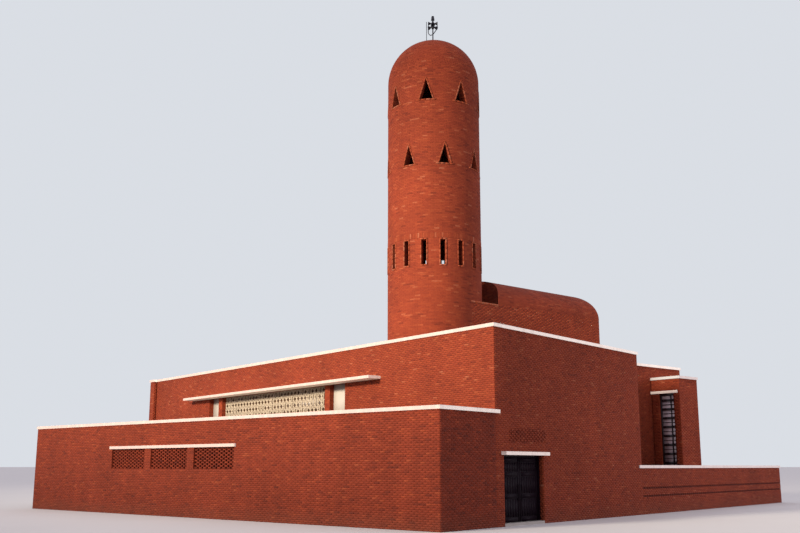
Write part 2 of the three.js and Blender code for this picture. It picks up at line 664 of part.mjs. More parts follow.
function addFinial() {
  const clearDome = solidOf(domeGeometry(TOWER.radius + GAP, TOWER.radius - DOME_WALL));
  const footBottom = DOME_SPRING + TOWER.radius - CUT;
  let pole = solidOf(drumOf(POLE.radius, footBottom, POLE.top - POLE.radius, 16));
  pole = pole.add(solidOf(knobGeometry()));
  const photoLeft = THREE.MathUtils.degToRad(PHOTO_LEFT_DEGREES);
  const left = new THREE.Vector3(Math.cos(photoLeft), Math.sin(photoLeft), 0);
  const arms = [
    [[0, FORK.bottom], [FORK.leftReach * 0.6, FORK.bottom - 40], [FORK.leftReach, FORK.bottom + 80],
      [FORK.leftReach, FORK.top]],
    [[0, FORK.bottom], [-FORK.rightReach * 0.5, FORK.bottom + 150], [-FORK.rightReach, FORK.elbow],
      [-FORK.rightReach, FORK.top]],
  ];
  for (const arm of arms) {
    const points = arm.map(([side, z]) => left.clone().multiplyScalar(side).setZ(z));
    pole = pole.add(solidOf(tubeThrough(points, FORK.radius)));
  }
  placeAtTower(add('finial_pole', geometryOf(pole.subtract(clearDome)), darkMetal));

  let horns = solidOf(drumOf(HORNS.hub, HORNS.bottom, HORNS.top, 16));
  for (const { height, turns } of HORN_TIERS) {
    for (const turn of turns) {
      const direction = THREE.MathUtils.degToRad(PHOTO_LEFT_DEGREES + turn);
      horns = horns.add(solidOf(hornAt(direction, height)));
    }
  }
  const bore = drumOf(POLE.radius + GAP, HORNS.bottom - CUT, HORNS.top + CUT, 16);
  placeAtTower(add('loudspeakers', geometryOf(horns.subtract(solidOf(bore))), darkMetal));

  const rod = drumOf(ROD.radius, footBottom, ROD.top, 12);
  rod.translate(left.x * ROD.reach, left.y * ROD.reach, 0);
  placeAtTower(add('lightning_rod', geometryOf(solidOf(rod).subtract(clearDome)), darkMetal));
}

// Barrel vault and its box

function halfEllipse(halfWidth, rise, steps = 28) {
  const points = [];
  for (let i = 0; i <= steps; i += 1) {
    const angle = (Math.PI * i) / steps;
    points.push([halfWidth * Math.cos(angle), rise * Math.sin(angle)]);
  }
  points[0][1] = 0;
  points[steps][1] = 0;
  return points;
}

function addVault() {
  const middle = -(HALL_FLANK + VAULT.left) / 2;
  const halfWidth = (VAULT.left - HALL_FLANK) / 2;
  const towerSpot = inHall(new THREE.Vector2(TOWER.x, TOWER.y));
  const drum = (radius, bottom, top) => {
    const geometry = drumOf(radius, bottom, top);
    geometry.rotateZ(HALL_TURN);
    geometry.translate(towerSpot.x, towerSpot.y, 0);
    return solidOf(geometry);
  };
  const outer = rectanglePoints(-VAULT.left, VAULT.start, -HALL_FLANK, VAULT.end);
  const inner = rectanglePoints(WALL - VAULT.left, VAULT.start + WALL, -HALL_FLANK - WALL, VAULT.end - WALL);
  const underCoping = block(-HALL_FLANK - 2 * WALL, -HALL_FLANK + CUT, VAULT_STEP, VAULT.end + CUT,
    ROOF_TOP - CUT, HALL_HEIGHT);
  let box = solidOf(raised(outer, ROOF_TOP, VAULT.spring, [inner]));
  box = box.subtract(solidOf(underCoping));
  box = box.subtract(drum(TOWER.radius + GAP, 0, DOME_SPRING));
  add('vault_box', geometryOf(box), brickDark, hall);

  const ledgeOutline = rectanglePoints(WALL - VAULT.left + GAP, VAULT.start + WALL + GAP,
    -HALL_FLANK - WALL - GAP, VAULT_WELL.start);
  const ledge = solidOf(raised(ledgeOutline, VAULT.spring - LEDGE_THICK, VAULT.spring));
  add('vault_ledge', geometryOf(ledge.subtract(drum(TOWER.radius + GAP, 0, DOME_SPRING))), concrete, hall);

  const barrel = (width, rise, start, end) => {
    const geometry = elevation(halfEllipse(width, rise), start, end - start);
    geometry.translate(middle, 0, VAULT.spring);
    return solidOf(geometry);
  };
  const clear = drum(VAULT_CLEAR_OF_TOWER, 0, DOME_SPRING);
  const shellWidth = halfWidth - VAULT.shell;
  const shellRise = VAULT.rise - VAULT.shell;
  let shell = barrel(halfWidth, VAULT.rise, VAULT.start, VAULT.end);
  const underside = block(-VAULT.left, -HALL_FLANK, VAULT.start - CUT, VAULT.end + CUT,
    VAULT.spring - CUT, VAULT.spring);
  const hollow = barrel(shellWidth, shellRise, VAULT.start - CUT, VAULT.end + CUT);
  shell = shell.subtract(hollow).subtract(solidOf(underside)).subtract(clear);
  add('vault_shell', geometryOf(shell), brickDark, hall);

  const closure = barrel(shellWidth - GAP, shellRise - GAP, VAULT.start, VAULT.end).subtract(clear);
  const behind = barrel(halfWidth, VAULT.rise, VAULT.start + VAULT_CLOSURE, VAULT.end + CUT)
    .subtract(drum(VAULT_CLEAR_OF_TOWER + VAULT_CLOSURE, 0, DOME_SPRING));
  add('vault_curved_wall', geometryOf(closure.subtract(behind)), brickDark, hall);

  const gable = elevation(halfEllipse(shellWidth - GAP, shellRise - GAP), VAULT.end - WALL, WALL);
  gable.translate(middle, 0, VAULT.spring);
  add('vault_gable', gable, brickDark, hall);
}

// Window bay

function addBay() {
  const wallTop = BAY.height - COPING;
  const outerFace = -HALL_FLANK + GAP;
  const innerFront = -BAY.front - BAY.wall;
  const walls = [
    [outerFace, BAY.start],
    [-BAY.front, BAY.start],
    [-BAY.front, BAY.end],
    [outerFace, BAY.end],
    [outerFace, BAY.end - BAY.wall],
    [innerFront, BAY.end - BAY.wall],
    [innerFront, BAY.start + BAY.wall],
    [outerFace, BAY.start + BAY.wall],
  ];
  const windowRight = -HALL_FLANK + BAY_WINDOW.start + BAY_WINDOW.width;
  const windowLeft = -HALL_FLANK + BAY_WINDOW.start;
  const hole = block(windowLeft, windowRight, BAY.start - CUT, BAY.start + BAY.wall + CUT,
    BAY_WINDOW.bottom, BAY_WINDOW.top);
  const lowWallTop = block(-LOW_WALL.thick - COPING_PROUD - GAP, 5 * CUT, ENTRANCE_FACE_END, LOW_WALL.end,
    -CUT, LOW_WALL.height);
  lowWallTop.translate(0, -LOWER_SHORT_SIDE, 0);
  lowWallTop.rotateZ(HALL_TURN);
  const wallSolid = solidOf(raised(walls, 0, wallTop)).subtract(solidOf(hole)).subtract(solidOf(lowWallTop));
  add('bay_walls', geometryOf(wallSolid), brickDark, hall);

  const { bar, depth, mullion, rows } = BAY_FRAME;
  const split = windowLeft + BAY_WINDOW.width * mullion;
  const rowPitch = (BAY_WINDOW.top - BAY_WINDOW.bottom - bar) / rows;
  const panes = [];
  for (let row = 0; row < rows; row += 1) {
    const low = BAY_WINDOW.bottom + bar + row * rowPitch;
    const high = low + rowPitch - bar;
    panes.push(rectanglePoints(windowLeft + bar, low, split - bar / 2, high));
    panes.push(rectanglePoints(split + bar / 2, low, windowRight - bar, high));
  }
  const windowFace = rectanglePoints(windowLeft + GAP, BAY_WINDOW.bottom + GAP,
    windowRight - GAP, BAY_WINDOW.top - GAP);
  const windowY = BAY.start + (BAY.wall - depth) / 2;
  add('bay_window', pierced(windowFace, windowY, depth, panes), darkMetal, hall);

  const roof = block(outerFace, innerFront - GAP, BAY.start + BAY.wall + GAP, BAY.end - BAY.wall - GAP,
    wallTop - LEDGE_THICK, wallTop);
  add('bay_roof', roof, concrete, hall);
  const lintel = block(outerFace, -BAY.front - BAY_LINTEL.shortOfCorner, BAY.start - BAY_LINTEL.proud,
    BAY.start - GAP, BAY_LINTEL.bottom, BAY_LINTEL.bottom + BAY_LINTEL.thick);
  add('bay_lintel', lintel, whitePaint, hall);
  const coping = block(outerFace, COPING_PROUD - BAY.front, BAY.start - COPING_PROUD, BAY.end + COPING_PROUD,
    wallTop, BAY.height);
  add('bay_coping', coping, whitePaint, hall);
}

// Compound wall with two grooves along its face

function addLowWall() {
  const wallTop = LOW_WALL.height - COPING;
  const profile = [[-LOW_WALL.thick, 0], [0, 0]];
  for (const height of GROOVES) {
    profile.push([0, height - GROOVE.height / 2]);
    profile.push([-GROOVE.depth, height - GROOVE.height / 2]);
    profile.push([-GROOVE.depth, height + GROOVE.height / 2]);
    profile.push([0, height + GROOVE.height / 2]);
  }
  profile.push([0, wallTop]);
  profile.push([-LOW_WALL.thick, wallTop]);
  add('low_wall', elevation(profile, ENTRANCE_FACE_END, LOW_WALL.end - ENTRANCE_FACE_END), brickDark);
  const coping = [
    [COPING_PROUD, ENTRANCE_FACE_END - COPING_LAP],
    [COPING_PROUD, LOW_WALL.end + COPING_PROUD],
    [-LOW_WALL.thick - COPING_PROUD, LOW_WALL.end + COPING_PROUD],
    [-LOW_WALL.thick - COPING_PROUD, ENTRANCE_FACE_END],
    [0, ENTRANCE_FACE_END],
    [0, ENTRANCE_FACE_END - COPING_LAP],
  ];
  add('low_wall_coping', raised(coping, wallTop, LOW_WALL.height), whitePaint);
}

addFrontBlock();
addHallWalls();
addFloorAndRoof();
addEntranceDoor();
addTower();
addFinial();
addVault();
addBay();
addLowWall();

// The whole building moved so that its origin is under the middle of the plan, on the ground
plain.updateMatrixWorld(true);
const extent = new THREE.Box3().setFromObject(plain, true);
plain.position.set(-(extent.min.x + extent.max.x) / 2, -(extent.min.y + extent.max.y) / 2, 0);

const mosque = new THREE.Group();
mosque.add(plain);

export default mosque;
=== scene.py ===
"""Looks of a brick mosque: brick facings and screens, white lattices, door, bay window, light and camera.

Metres, +Z up. Places are measured from the front corner of the single-storey block, with X out of the
entrance face and Y along it. The turned hall has its own u, along its front, and v, into it.
"""
import math

import bpy
import numpy as np
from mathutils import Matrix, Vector


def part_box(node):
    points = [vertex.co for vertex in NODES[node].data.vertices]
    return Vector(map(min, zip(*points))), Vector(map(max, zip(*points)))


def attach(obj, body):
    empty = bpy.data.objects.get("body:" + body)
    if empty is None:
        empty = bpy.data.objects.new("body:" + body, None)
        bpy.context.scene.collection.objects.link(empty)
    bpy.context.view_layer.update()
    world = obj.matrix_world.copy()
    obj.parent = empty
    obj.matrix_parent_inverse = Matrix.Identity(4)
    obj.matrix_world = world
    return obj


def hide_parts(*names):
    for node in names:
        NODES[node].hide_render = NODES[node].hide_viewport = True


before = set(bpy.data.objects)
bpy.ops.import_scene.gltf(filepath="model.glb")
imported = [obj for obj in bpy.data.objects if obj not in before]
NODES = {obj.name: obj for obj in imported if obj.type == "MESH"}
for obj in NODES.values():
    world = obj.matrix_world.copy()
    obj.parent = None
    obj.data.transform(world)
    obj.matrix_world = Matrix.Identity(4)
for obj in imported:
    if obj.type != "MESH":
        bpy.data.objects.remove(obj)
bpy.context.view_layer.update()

BUILDING = "building"

# Brickwork
COURSE = 0.075
PITCH = 0.24
JOINT = 0.010
PERPEND = 0.004
PROUD = 0.005
ROUND_PROUD = 0.009
BACK = 0.002
UNEVEN = 0.0012
SIDEWAYS = 0.0015
SLIVER = 0.018
THIN = 0.004

# Shares and tones of the bricks, from burnt dark at 0 to pale at 1
MIDDLING_TONE = 0.52
MIDDLING_SPREAD = 0.075
PALE_SHARE = 0.065
PALE_TONES = (0.67, 0.90)
BURNT_SHARE = 0.05
BURNT_TONES = (0.20, 0.34)

# Plan of the building
TURN = math.radians(10.5)
LOWER_LENGTH = 26.18
SHORT_SIDE = 3.2
LOWER_WALL_TOP = 3.97
COPING = 0.13
COPING_LAP = 0.27
LOWER_ROOF = 3.78
HALL_WALL_TOP = 7.10
HALL_HEIGHT = 7.23
HALL_LENGTH = 29.15
HALL_WIDTH = 18.6
HALL_FLANK = 4.84
ENTRANCE_END = 14.585
ROOF_TOP = 6.95
LOW_WALL_END = 32.7
LOW_WALL_TOP = 2.02
LOW_WALL_THICK = 0.23
CLEAR = 0.01
WIDE_CLEAR = 0.02
PAST_ENDS = 1.0
GROOVES = ((0.75, 0.83), (1.10, 1.18))
TOWER_RADIUS = 2.1
DOME_SPRING = 19.57

long_wall_low, long_wall_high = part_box("long_wall")
CORNER = np.array([long_wall_high.x, long_wall_low.y, 0.0])
tower_low, tower_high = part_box("tower_shaft")
TOWER = np.array([(tower_low.x + tower_high.x) / 2, (tower_low.y + tower_high.y) / 2, 0.0])

ALONG_HALL = np.array([-math.cos(TURN), math.sin(TURN), 0.0])
INTO_HALL = np.array([math.sin(TURN), math.cos(TURN), 0.0])
HALL_CORNER = CORNER + np.array([0.0, SHORT_SIDE, 0.0])
EAST = np.array([1.0, 0.0, 0.0])
NORTH = np.array([0.0, 1.0, 0.0])
UP = np.array([0.0, 0.0, 1.0])


def spot(x, y, z=0.0):
    """A point given from the front corner."""
    return CORNER + np.array([x, y, z])


# Materials

class Graph:
    """The nodes of a material or world, filled step by step."""

    def __init__(self, owner, output="ShaderNodeOutputMaterial", shader="ShaderNodeBsdfPrincipled"):
        self.owner = owner
        owner.use_nodes = True
        self.tree = owner.node_tree
        self.tree.nodes.clear()
        self.shader = self.add(shader)
        self.add(output, {"Surface": self.shader.outputs[0]})

    def feed(self, socket, value):
        """Link another node's output, or set a number, vector or colour."""
        if isinstance(value, bpy.types.NodeSocket):
            self.tree.links.new(value, socket)
        else:
            socket.default_value = (*value, 1.0) if socket.type == "RGBA" else value

    def add(self, kind, values=None, **settings):
        node = self.tree.nodes.new(kind)
        for key, value in settings.items():
            setattr(node, key, value)
        for key, value in (values or {}).items():
            self.feed(node.inputs[key], value)
        return node

    def math(self, operation, first, second=0.0, clamp=False):
        values = {0: first, 1: second}
        return self.add("ShaderNodeMath", values, operation=operation, use_clamp=clamp).outputs[0]

    def vector_math(self, operation, first, second):
        return self.add("ShaderNodeVectorMath", {0: first, 1: second}, operation=operation).outputs[0]

    def turned(self, vector, angle):
        values = {"Vector": vector, "Angle": angle}
        return self.add("ShaderNodeVectorRotate", values, rotation_type="Z_AXIS").outputs[0]

    def split(self, vector):
        return self.add("ShaderNodeSeparateXYZ", {0: vector}).outputs

    def mix(self, factor, first, second, blend="MIX"):
        values = {0: factor, 6: first, 7: second}
        return self.add("ShaderNodeMix", values, data_type="RGBA", blend_type=blend).outputs[2]

    def noise(self, vector, scale, detail=3.0, roughness=0.55):
        values = {"Vector": vector, "Scale": scale, "Detail": detail, "Roughness": roughness}
        return self.add("ShaderNodeTexNoise", values).outputs[0]

    def stretched_noise(self, vector, scales, detail, roughness=0.55):
        return self.noise(self.vector_math("MULTIPLY", vector, scales), 1.0, detail, roughness)

    def range(self, value, low, high, out_low=0.0, out_high=1.0):
        values = {0: value, 1: low, 2: high, 3: out_low, 4: out_high}
        return self.add("ShaderNodeMapRange", values, clamp=True).outputs[0]

    def ramp(self, value, stops):
        node = self.add("ShaderNodeValToRGB", {0: value})
        elements = node.color_ramp.elements
        while len(elements) < len(stops):
            elements.new(0.5)
        for element, (place, colour) in zip(elements, stops):
            element.position = place
            element.color = (*colour, 1.0)
        return node.outputs[0]

    def bump(self, height, strength, distance):
        values = {"Height": height, "Strength": strength, "Distance": distance}
        return self.add("ShaderNodeBump", values).outputs[0]

    def place(self):
        return self.add("ShaderNodeTexCoord").outputs["Object"]

    def normal(self):
        return self.add("ShaderNodeNewGeometry").outputs["Normal"]

    def finish(self, colour, roughness, normal=None, metallic=0.0, specular=0.35):
        values = {"Base Color": colour, "Roughness": roughness, "Metallic": metallic,
                  "Specular IOR Level": specular}
        if normal is not None:
            values["Normal"] = normal
        for key, value in values.items():
            self.feed(self.shader.inputs[key], value)
        return self.owner


def new_material(name):
    return Graph(bpy.data.materials.new(name))


BRICK_TONES = (
    (0.00, (0.105, 0.0173, 0.0090)),
    (0.22, (0.150, 0.0225, 0.0090)),
    (0.45, (0.200, 0.0300, 0.0113)),
    (0.66, (0.237, 0.0398, 0.0135)),
    (0.84, (0.269, 0.0563, 0.0210)),
    (1.00, (0.304, 0.0990, 0.0533)),
)
MORTAR = (0.225, 0.0480, 0.0240)
FOOT_DUST = (0.117, 0.0435, 0.0255)
FOOT_DUST_SHARE = 0.26
DULLER_BELOW = 5.0
COATING_DUST = (0.60, 0.48, 0.38)
CHIPPED = (0.42, 0.38, 0.34)
DRY_SCREED = (0.36, 0.34, 0.31)
PONDED_SCREED = (0.25, 0.23, 0.21)
POND_RIM = (0.46, 0.43, 0.38)
SCREED_GRIT = (0.17, 0.15, 0.14)


def weathered_and_darker_below(graph, place, colour):
    """Broad patches, rain streaks and a dusty foot, over any wall colour, which also turns darker towards the
    bottom.
    """
    height = graph.split(place)["Z"]
    patches = graph.range(graph.noise(place, 0.45, 4.0), 0.3, 0.72, 0.86, 1.08)
    streaks = graph.stretched_noise(place, (1.7, 1.7, 0.12), 5.0, 0.6)
    streaks = graph.range(streaks, 0.32, 0.68, 0.90, 1.05)
    shade = graph.math("MULTIPLY", patches, streaks)
    # Darker towards the bottom, up to DULLER_BELOW metres.
    shade = graph.math("MULTIPLY", shade, graph.range(height, 0.0, DULLER_BELOW, 0.90, 1.0))
    grey = graph.add("ShaderNodeCombineXYZ", {0: shade, 1: shade, 2: shade}).outputs[0]
    shaded = graph.mix(1.0, colour, grey, "MULTIPLY")
    ragged = graph.math("MULTIPLY", graph.noise(place, 2.3, 4.0), 0.55)
    foot = graph.range(graph.math("SUBTRACT", height, ragged), -0.15, 0.35, FOOT_DUST_SHARE, 0.0)
    return graph.mix(foot, shaded, FOOT_DUST)


def blotched(graph, place, tone, amount):
    """The colour of a brick of some tone, with blotches inside it."""
    blotch = graph.range(graph.noise(place, 16.0), 0.25, 0.75, -amount, amount)
    return graph.ramp(graph.math("ADD", tone, blotch, clamp=True), BRICK_TONES)


def brick_material():
    """Single fired bricks: one tone for each brick, blotches inside it and a sanded face."""
    graph = new_material("fired_brick")
    place = graph.place()
    tone = graph.add("ShaderNodeAttribute", attribute_name="tone").outputs["Fac"]
    colour = weathered_and_darker_below(graph, place, blotched(graph, place, tone, 0.10))
    grain = graph.noise(place, 190.0, 3.0, 0.6)
    pits = graph.range(graph.noise(place, 65.0, 2.0), 0.28, 0.42)
    relief = graph.math("ADD", graph.math("MULTIPLY", grain, 0.4), pits)
    return graph.finish(colour, graph.range(grain, 0.3, 0.7, 0.80, 0.95), graph.bump(relief, 0.5, 0.0015),
                        specular=0.19)


def wall_material(name, turned=False, on_tower=False):
    """The wall behind the facings and every wall that has none: coursed brick with raked joints."""
    graph = new_material(name)
    place = graph.place()
    local = graph.vector_math("ADD", place, tuple(-TOWER if on_tower else -CORNER))
    normal = graph.normal()
    if turned:
        local, normal = (graph.turned(vector, TURN) for vector in (local, normal))
    parts = graph.split(local)
    facing = graph.split(normal)
    if on_tower:
        along = graph.math("MULTIPLY", graph.math("ARCTAN2", parts["Y"], parts["X"]), TOWER_RADIUS)
    else:
        faces_x = graph.math("GREATER_THAN", graph.math("ABSOLUTE", facing["X"]), 0.7)
        difference = graph.math("SUBTRACT", parts["Y"], parts["X"])
        along = graph.math("ADD", parts["X"], graph.math("MULTIPLY", faces_x, difference))
    flat = graph.math("GREATER_THAN", graph.math("ABSOLUTE", facing["Z"]), 0.8)
    climb = graph.math("SUBTRACT", parts["Y"], parts["Z"])
    climb = graph.math("ADD", parts["Z"], graph.math("MULTIPLY", flat, climb))
    grid = graph.add("ShaderNodeCombineXYZ", {0: along, 1: climb}).outputs[0]
    values = {"Vector": grid, "Color1": (0.0, 0.0, 0.0), "Color2": (1.0, 1.0, 1.0), "Mortar": (0.5, 0.5, 0.5),
              "Scale": 1.0, "Mortar Size": JOINT / 2, "Mortar Smooth": 0.2, "Brick Width": PITCH,
              "Row Height": COURSE}
    pattern = graph.add("ShaderNodeTexBrick", values, offset=0.5)
    tone = graph.add("ShaderNodeRGBToBW", {0: pattern.outputs["Color"]}).outputs[0]
    colour = blotched(graph, place, graph.range(tone, 0.0, 1.0, 0.2, 0.8), 0.12)
    colour = weathered_and_darker_below(graph, place, graph.mix(pattern.outputs["Fac"], colour, MORTAR))
    grain = graph.math("MULTIPLY", graph.noise(place, 190.0), 0.15)
    relief = graph.math("SUBTRACT", grain, pattern.outputs["Fac"])
    return graph.finish(colour, 0.92, graph.bump(relief, 0.8, 0.006), specular=0.15)


def white_material(name, clean, streaked, painted_shade_on_lit_side=None):
    """Painted cement with rain streaks, dust and chipped spots, and painted shade on its faces towards the
    key light.
    """
    graph = new_material(name)
    place = graph.place()
    if painted_shade_on_lit_side is not None:
        # Faces towards the key light take the darker colour given: painted shade.
        turned_away = graph.range(graph.split(graph.normal())["Y"], -0.95, -0.75)
        clean = graph.mix(turned_away, painted_shade_on_lit_side, clean)
    streaks = graph.range(graph.stretched_noise(place, (5.0, 5.0, 0.7), 6.0, 0.65), 0.50, 0.72, 0.0, 0.55)
    colour = graph.mix(streaks, clean, streaked)
    dust = graph.range(graph.noise(place, 1.1, 5.0, 0.65), 0.50, 0.75, 0.0, 0.35)
    colour = graph.mix(dust, colour, COATING_DUST)
    specks = graph.range(graph.noise(place, 38.0, 2.0), 0.68, 0.74, 0.0, 0.6)
    colour = graph.mix(specks, colour, CHIPPED)
    grain = graph.noise(place, 85.0, 4.0, 0.6)
    return graph.finish(colour, graph.range(grain, 0.3, 0.7, 0.62, 0.82), graph.bump(grain, 0.35, 0.002))


def concrete_material():
    """Roof and floor screed with ponding stains."""
    graph = new_material("cement_screed")
    place = graph.place()
    ponds = graph.noise(place, 0.55, 6.0, 0.6)
    colour = graph.mix(graph.range(ponds, 0.40, 0.62), DRY_SCREED, PONDED_SCREED)
    rim = graph.math("MULTIPLY", graph.range(ponds, 0.50, 0.52), 0.18)
    colour = graph.mix(rim, colour, POND_RIM)
    grain = graph.noise(place, 60.0, 5.0, 0.65)
    colour = graph.mix(graph.range(grain, 0.4, 0.75, 0.0, 0.3), colour, SCREED_GRIT)
    return graph.finish(colour, graph.range(grain, 0.3, 0.7, 0.75, 0.95), graph.bump(grain, 0.4, 0.003))


def paint_material(name, base, worn, roughness, metallic=0.0, specular=0.5):
    """Dark paint with rubbed patches and a faint brushed grain."""
    graph = new_material(name)
    place = graph.place()
    rubbed = graph.range(graph.noise(place, 3.0, 6.0, 0.7), 0.55, 0.78, 0.0, 0.7)
    colour = graph.mix(rubbed, base, worn)
    grain = graph.stretched_noise(place, (60.0, 60.0, 4.0), 3.0)
    return graph.finish(colour, graph.range(grain, 0.3, 0.7, roughness - 0.08, roughness + 0.12),
                        graph.bump(grain, 0.25, 0.001), metallic=metallic, specular=specular)


def glass_material(name, scale, clean, dusty, roughness, specular):
    """Glass under a patchy film of dust; roughness is for its cleanest and dustiest parts."""
    graph = new_material(name)
    film = graph.noise(graph.place(), scale, 5.0, 0.6)
    colour = graph.mix(graph.range(film, 0.35, 0.7), clean, dusty)
    return graph.finish(colour, graph.range(film, 0.3, 0.7, *roughness), specular=specular)


BRICK = brick_material()
STRAIGHT_WALL = wall_material("coursed_brick_wall")
TURNED_WALL = wall_material("coursed_brick_hall", turned=True)
ROUND_WALL = wall_material("coursed_brick_tower", on_tower=True)
# The last colour of WHITE is painted shade on its faces towards the key light.
WHITE = white_material("white_painted_cement", (0.97, 0.90, 0.785), (0.66, 0.58, 0.49), (0.49, 0.365, 0.33))
# A duller copy of the white paint for the lintels that stand in shade: painted shade, with no darker tone on
# the key side.
SHADE_PAINTED_WHITE = white_material("white_cement_painted_shade", (0.87, 0.79, 0.70), (0.64, 0.56, 0.48))
# A duller copy of the white paint for the copings of the low wall and the bay, with a darker tone again on
# faces towards the key light: both painted shade.
OUTER_WHITE_PAINTED_SHADE = white_material("outer_cement_painted_shade", (0.69, 0.61, 0.56), (0.52, 0.46, 0.41), (0.45, 0.45, 0.455))
# A darker copy of the white paint for the side panels of the strip windows: painted shade.
PANEL_WHITE_PAINTED_SHADE = white_material("window_panel_white_painted_shade", (0.40, 0.37, 0.325), (0.33, 0.28, 0.23))
# A darker copy of the white paint for the lattices: painted shade.
LATTICE_WHITE_PAINTED_SHADE = white_material("lattice_cement_painted_shade", (0.45, 0.38, 0.285), (0.34, 0.27, 0.195))
CONCRETE = concrete_material()
DOOR = paint_material("dark_door_paint", (0.005, 0.0015, 0.0045), (0.011, 0.0045, 0.009), 0.52, specular=0.07)
METAL = paint_material("grey_painted_steel", (0.027, 0.030, 0.038), (0.060, 0.053, 0.051), 0.40, 0.6)
WINDOW_STEEL = paint_material("window_steel", (0.011, 0.007, 0.009), (0.028, 0.018, 0.018), 0.45, 0.2)
# The bay glass is pale grey-pink: a painted reflection of the bright surroundings, under its patchy dust
# film.
GLASS_WITH_PAINTED_REFLECTION = glass_material("bay_glass_painted_reflection", 1.3, (0.465, 0.405, 0.430), (0.555, 0.495, 0.510), (0.12, 0.30), 0.6)
BROWN_GLASS = glass_material("brown_window_glass", 2.1, (0.045, 0.023, 0.012), (0.075, 0.041, 0.024),
                             (0.20, 0.40), 0.4)

STRAIGHT = ("long_wall", "brick_screen_1", "brick_screen_2", "brick_screen_3", "lower_end_wall",
            "lower_corner_wall", "door_head_wall", "door_wall", "return_wall", "low_wall")
TURNED = ("side_wall", "window_pier_right", "window_pier_left", "hall_wall", "back_wall", "far_wall",
          "vault_box", "vault_shell", "vault_gable", "bay_walls")
ROUND = ("tower_shaft", "slot_ring", "lower_triangle_ring", "upper_triangle_ring", "dome",
         "vault_curved_wall")
WHITES = ("screen_lintel", "lower_coping", "upper_coping", "window_screen", "canopy", "back_screen",
          "back_canopy")
OUTER_WHITES = ("low_wall_coping", "bay_coping")
SHADE_PAINTED_WHITES = ("door_lintel", "bay_lintel")
CONCRETES = ("lower_roof", "floor", "roof", "vault_ledge", "bay_roof")
DOORS = ("door_left", "door_right", "door_frame")
METALS = ("finial_pole", "loudspeakers", "lightning_rod")


def dress_nodes():
    """Materials of the solids, also of those that pieces replace or cover."""
    groups = ((STRAIGHT, STRAIGHT_WALL), (TURNED, TURNED_WALL), (ROUND, ROUND_WALL), (WHITES, WHITE),
              (SHADE_PAINTED_WHITES, SHADE_PAINTED_WHITE), (CONCRETES, CONCRETE), (DOORS, DOOR), (METALS, METAL),
              (("bay_window",), WINDOW_STEEL), (OUTER_WHITES, OUTER_WHITE_PAINTED_SHADE))
    for names, material in groups:
        for name in names:
            node = NODES[name]
            if not node.material_slots:
                node.data.materials.append(None)
            for material_slot in node.material_slots:
                material_slot.link = "OBJECT"
                material_slot.material = material


# Meshes

# Corner order: four front corners, then four back corners, each anticlockwise seen from outside
BOX_QUADS = np.array([[0, 1, 2, 3], [5, 4, 7, 6], [4, 0, 3, 7], [1, 5, 6, 2], [3, 2, 6, 7], [4, 5, 1, 0]])


class Boxes:
    """Six-sided blocks collected for one mesh."""

    def __init__(self):
        self.corners = []
        self.tones = []

    def add_corners(self, corners, tones):
        self.corners.append(np.asarray(corners, float).reshape(-1, 8, 3))
        self.tones.append(np.asarray(tones, float).ravel())

    def prism(self, place, outline, front, back, tone=0.5):
        """A block between two depths of a wall's own frame, with a four-cornered outline."""
        s, z = np.array(list(outline) * 2, float).T
        self.add_corners(place(s, z, np.array([front] * 4 + [back] * 4)), [tone])

    def block(self, place, s0, s1, z0, z1, front, back, tone=0.5):
        """A block with upright and level edges."""
        self.prism(place, ((s0, z0), (s1, z0), (s1, z1), (s0, z1)), front, back, tone)

    def make(self, name, material, body=BUILDING, outward=None):
        """One piece of all blocks. outward gives the direction in which a round wall's fronts are shaded."""
        corners = np.concatenate(self.corners)
        tones = np.repeat(np.concatenate(self.tones), len(BOX_QUADS))
        across = np.cross(corners[:, 1] - corners[:, 0], corners[:, 3] - corners[:, 0])
        inside_out = np.einsum("ij,ij->i", across, corners[:, 0] - corners[:, 4]) < 0
        order = np.where(inside_out[:, None, None], BOX_QUADS[None, :, ::-1], BOX_QUADS[None])
        quads = np.arange(len(corners))[:, None, None] * 8 + order

        mesh = bpy.data.meshes.new(name)
        mesh.vertices.add(corners.size // 3)
        mesh.vertices.foreach_set("co", corners.astype(np.float32).ravel())
        mesh.loops.add(quads.size)
        mesh.loops.foreach_set("vertex_index", quads.astype(np.int32).ravel())
        mesh.polygons.add(quads.size // 4)
        mesh.polygons.foreach_set("loop_start", np.arange(0, quads.size, 4, dtype=np.int32))
        mesh.polygons.foreach_set("loop_total", np.full(quads.size // 4, 4, np.int32))
        mesh.attributes.new("tone", "FLOAT", "FACE").data.foreach_set("value", tones.astype(np.float32))
        mesh.update(calc_edges=True)
        mesh.materials.append(material)
        piece = bpy.data.objects.new(name, mesh)
        bpy.context.scene.collection.objects.link(piece)
        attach(piece, body)

        if outward is not None:
            faces = corners.reshape(-1, 3)[quads]
            normals = np.cross(faces[:, :, 1] - faces[:, :, 0], faces[:, :, 3] - faces[:, :, 0])
            normals = np.repeat(normals[:, :, None], 4, axis=2)
            normals[:, 0] = outward(faces[:, 0])
            normals /= np.linalg.norm(normals, axis=-1, keepdims=True)
            mesh.normals_split_custom_set(normals.reshape(-1, 3))
        return piece


# Frames of the walls: s runs along the wall, z up, depth out of it

def flat_wall(origin, along, out):
    def place(s, z, depth):
        return origin + s[..., None] * along + z[..., None] * UP + depth[..., None] * out
    return place


def hall_face(u, v, along, out):
    return flat_wall(HALL_CORNER + u * ALONG_HALL + v * INTO_HALL, along, out)


def round_wall(s, z, depth):
    """The tower's drum, with s the length round it."""
    angle = s / TOWER_RADIUS
    reach = TOWER_RADIUS + depth
    return TOWER + np.stack([reach * np.cos(angle), reach * np.sin(angle), z], -1)


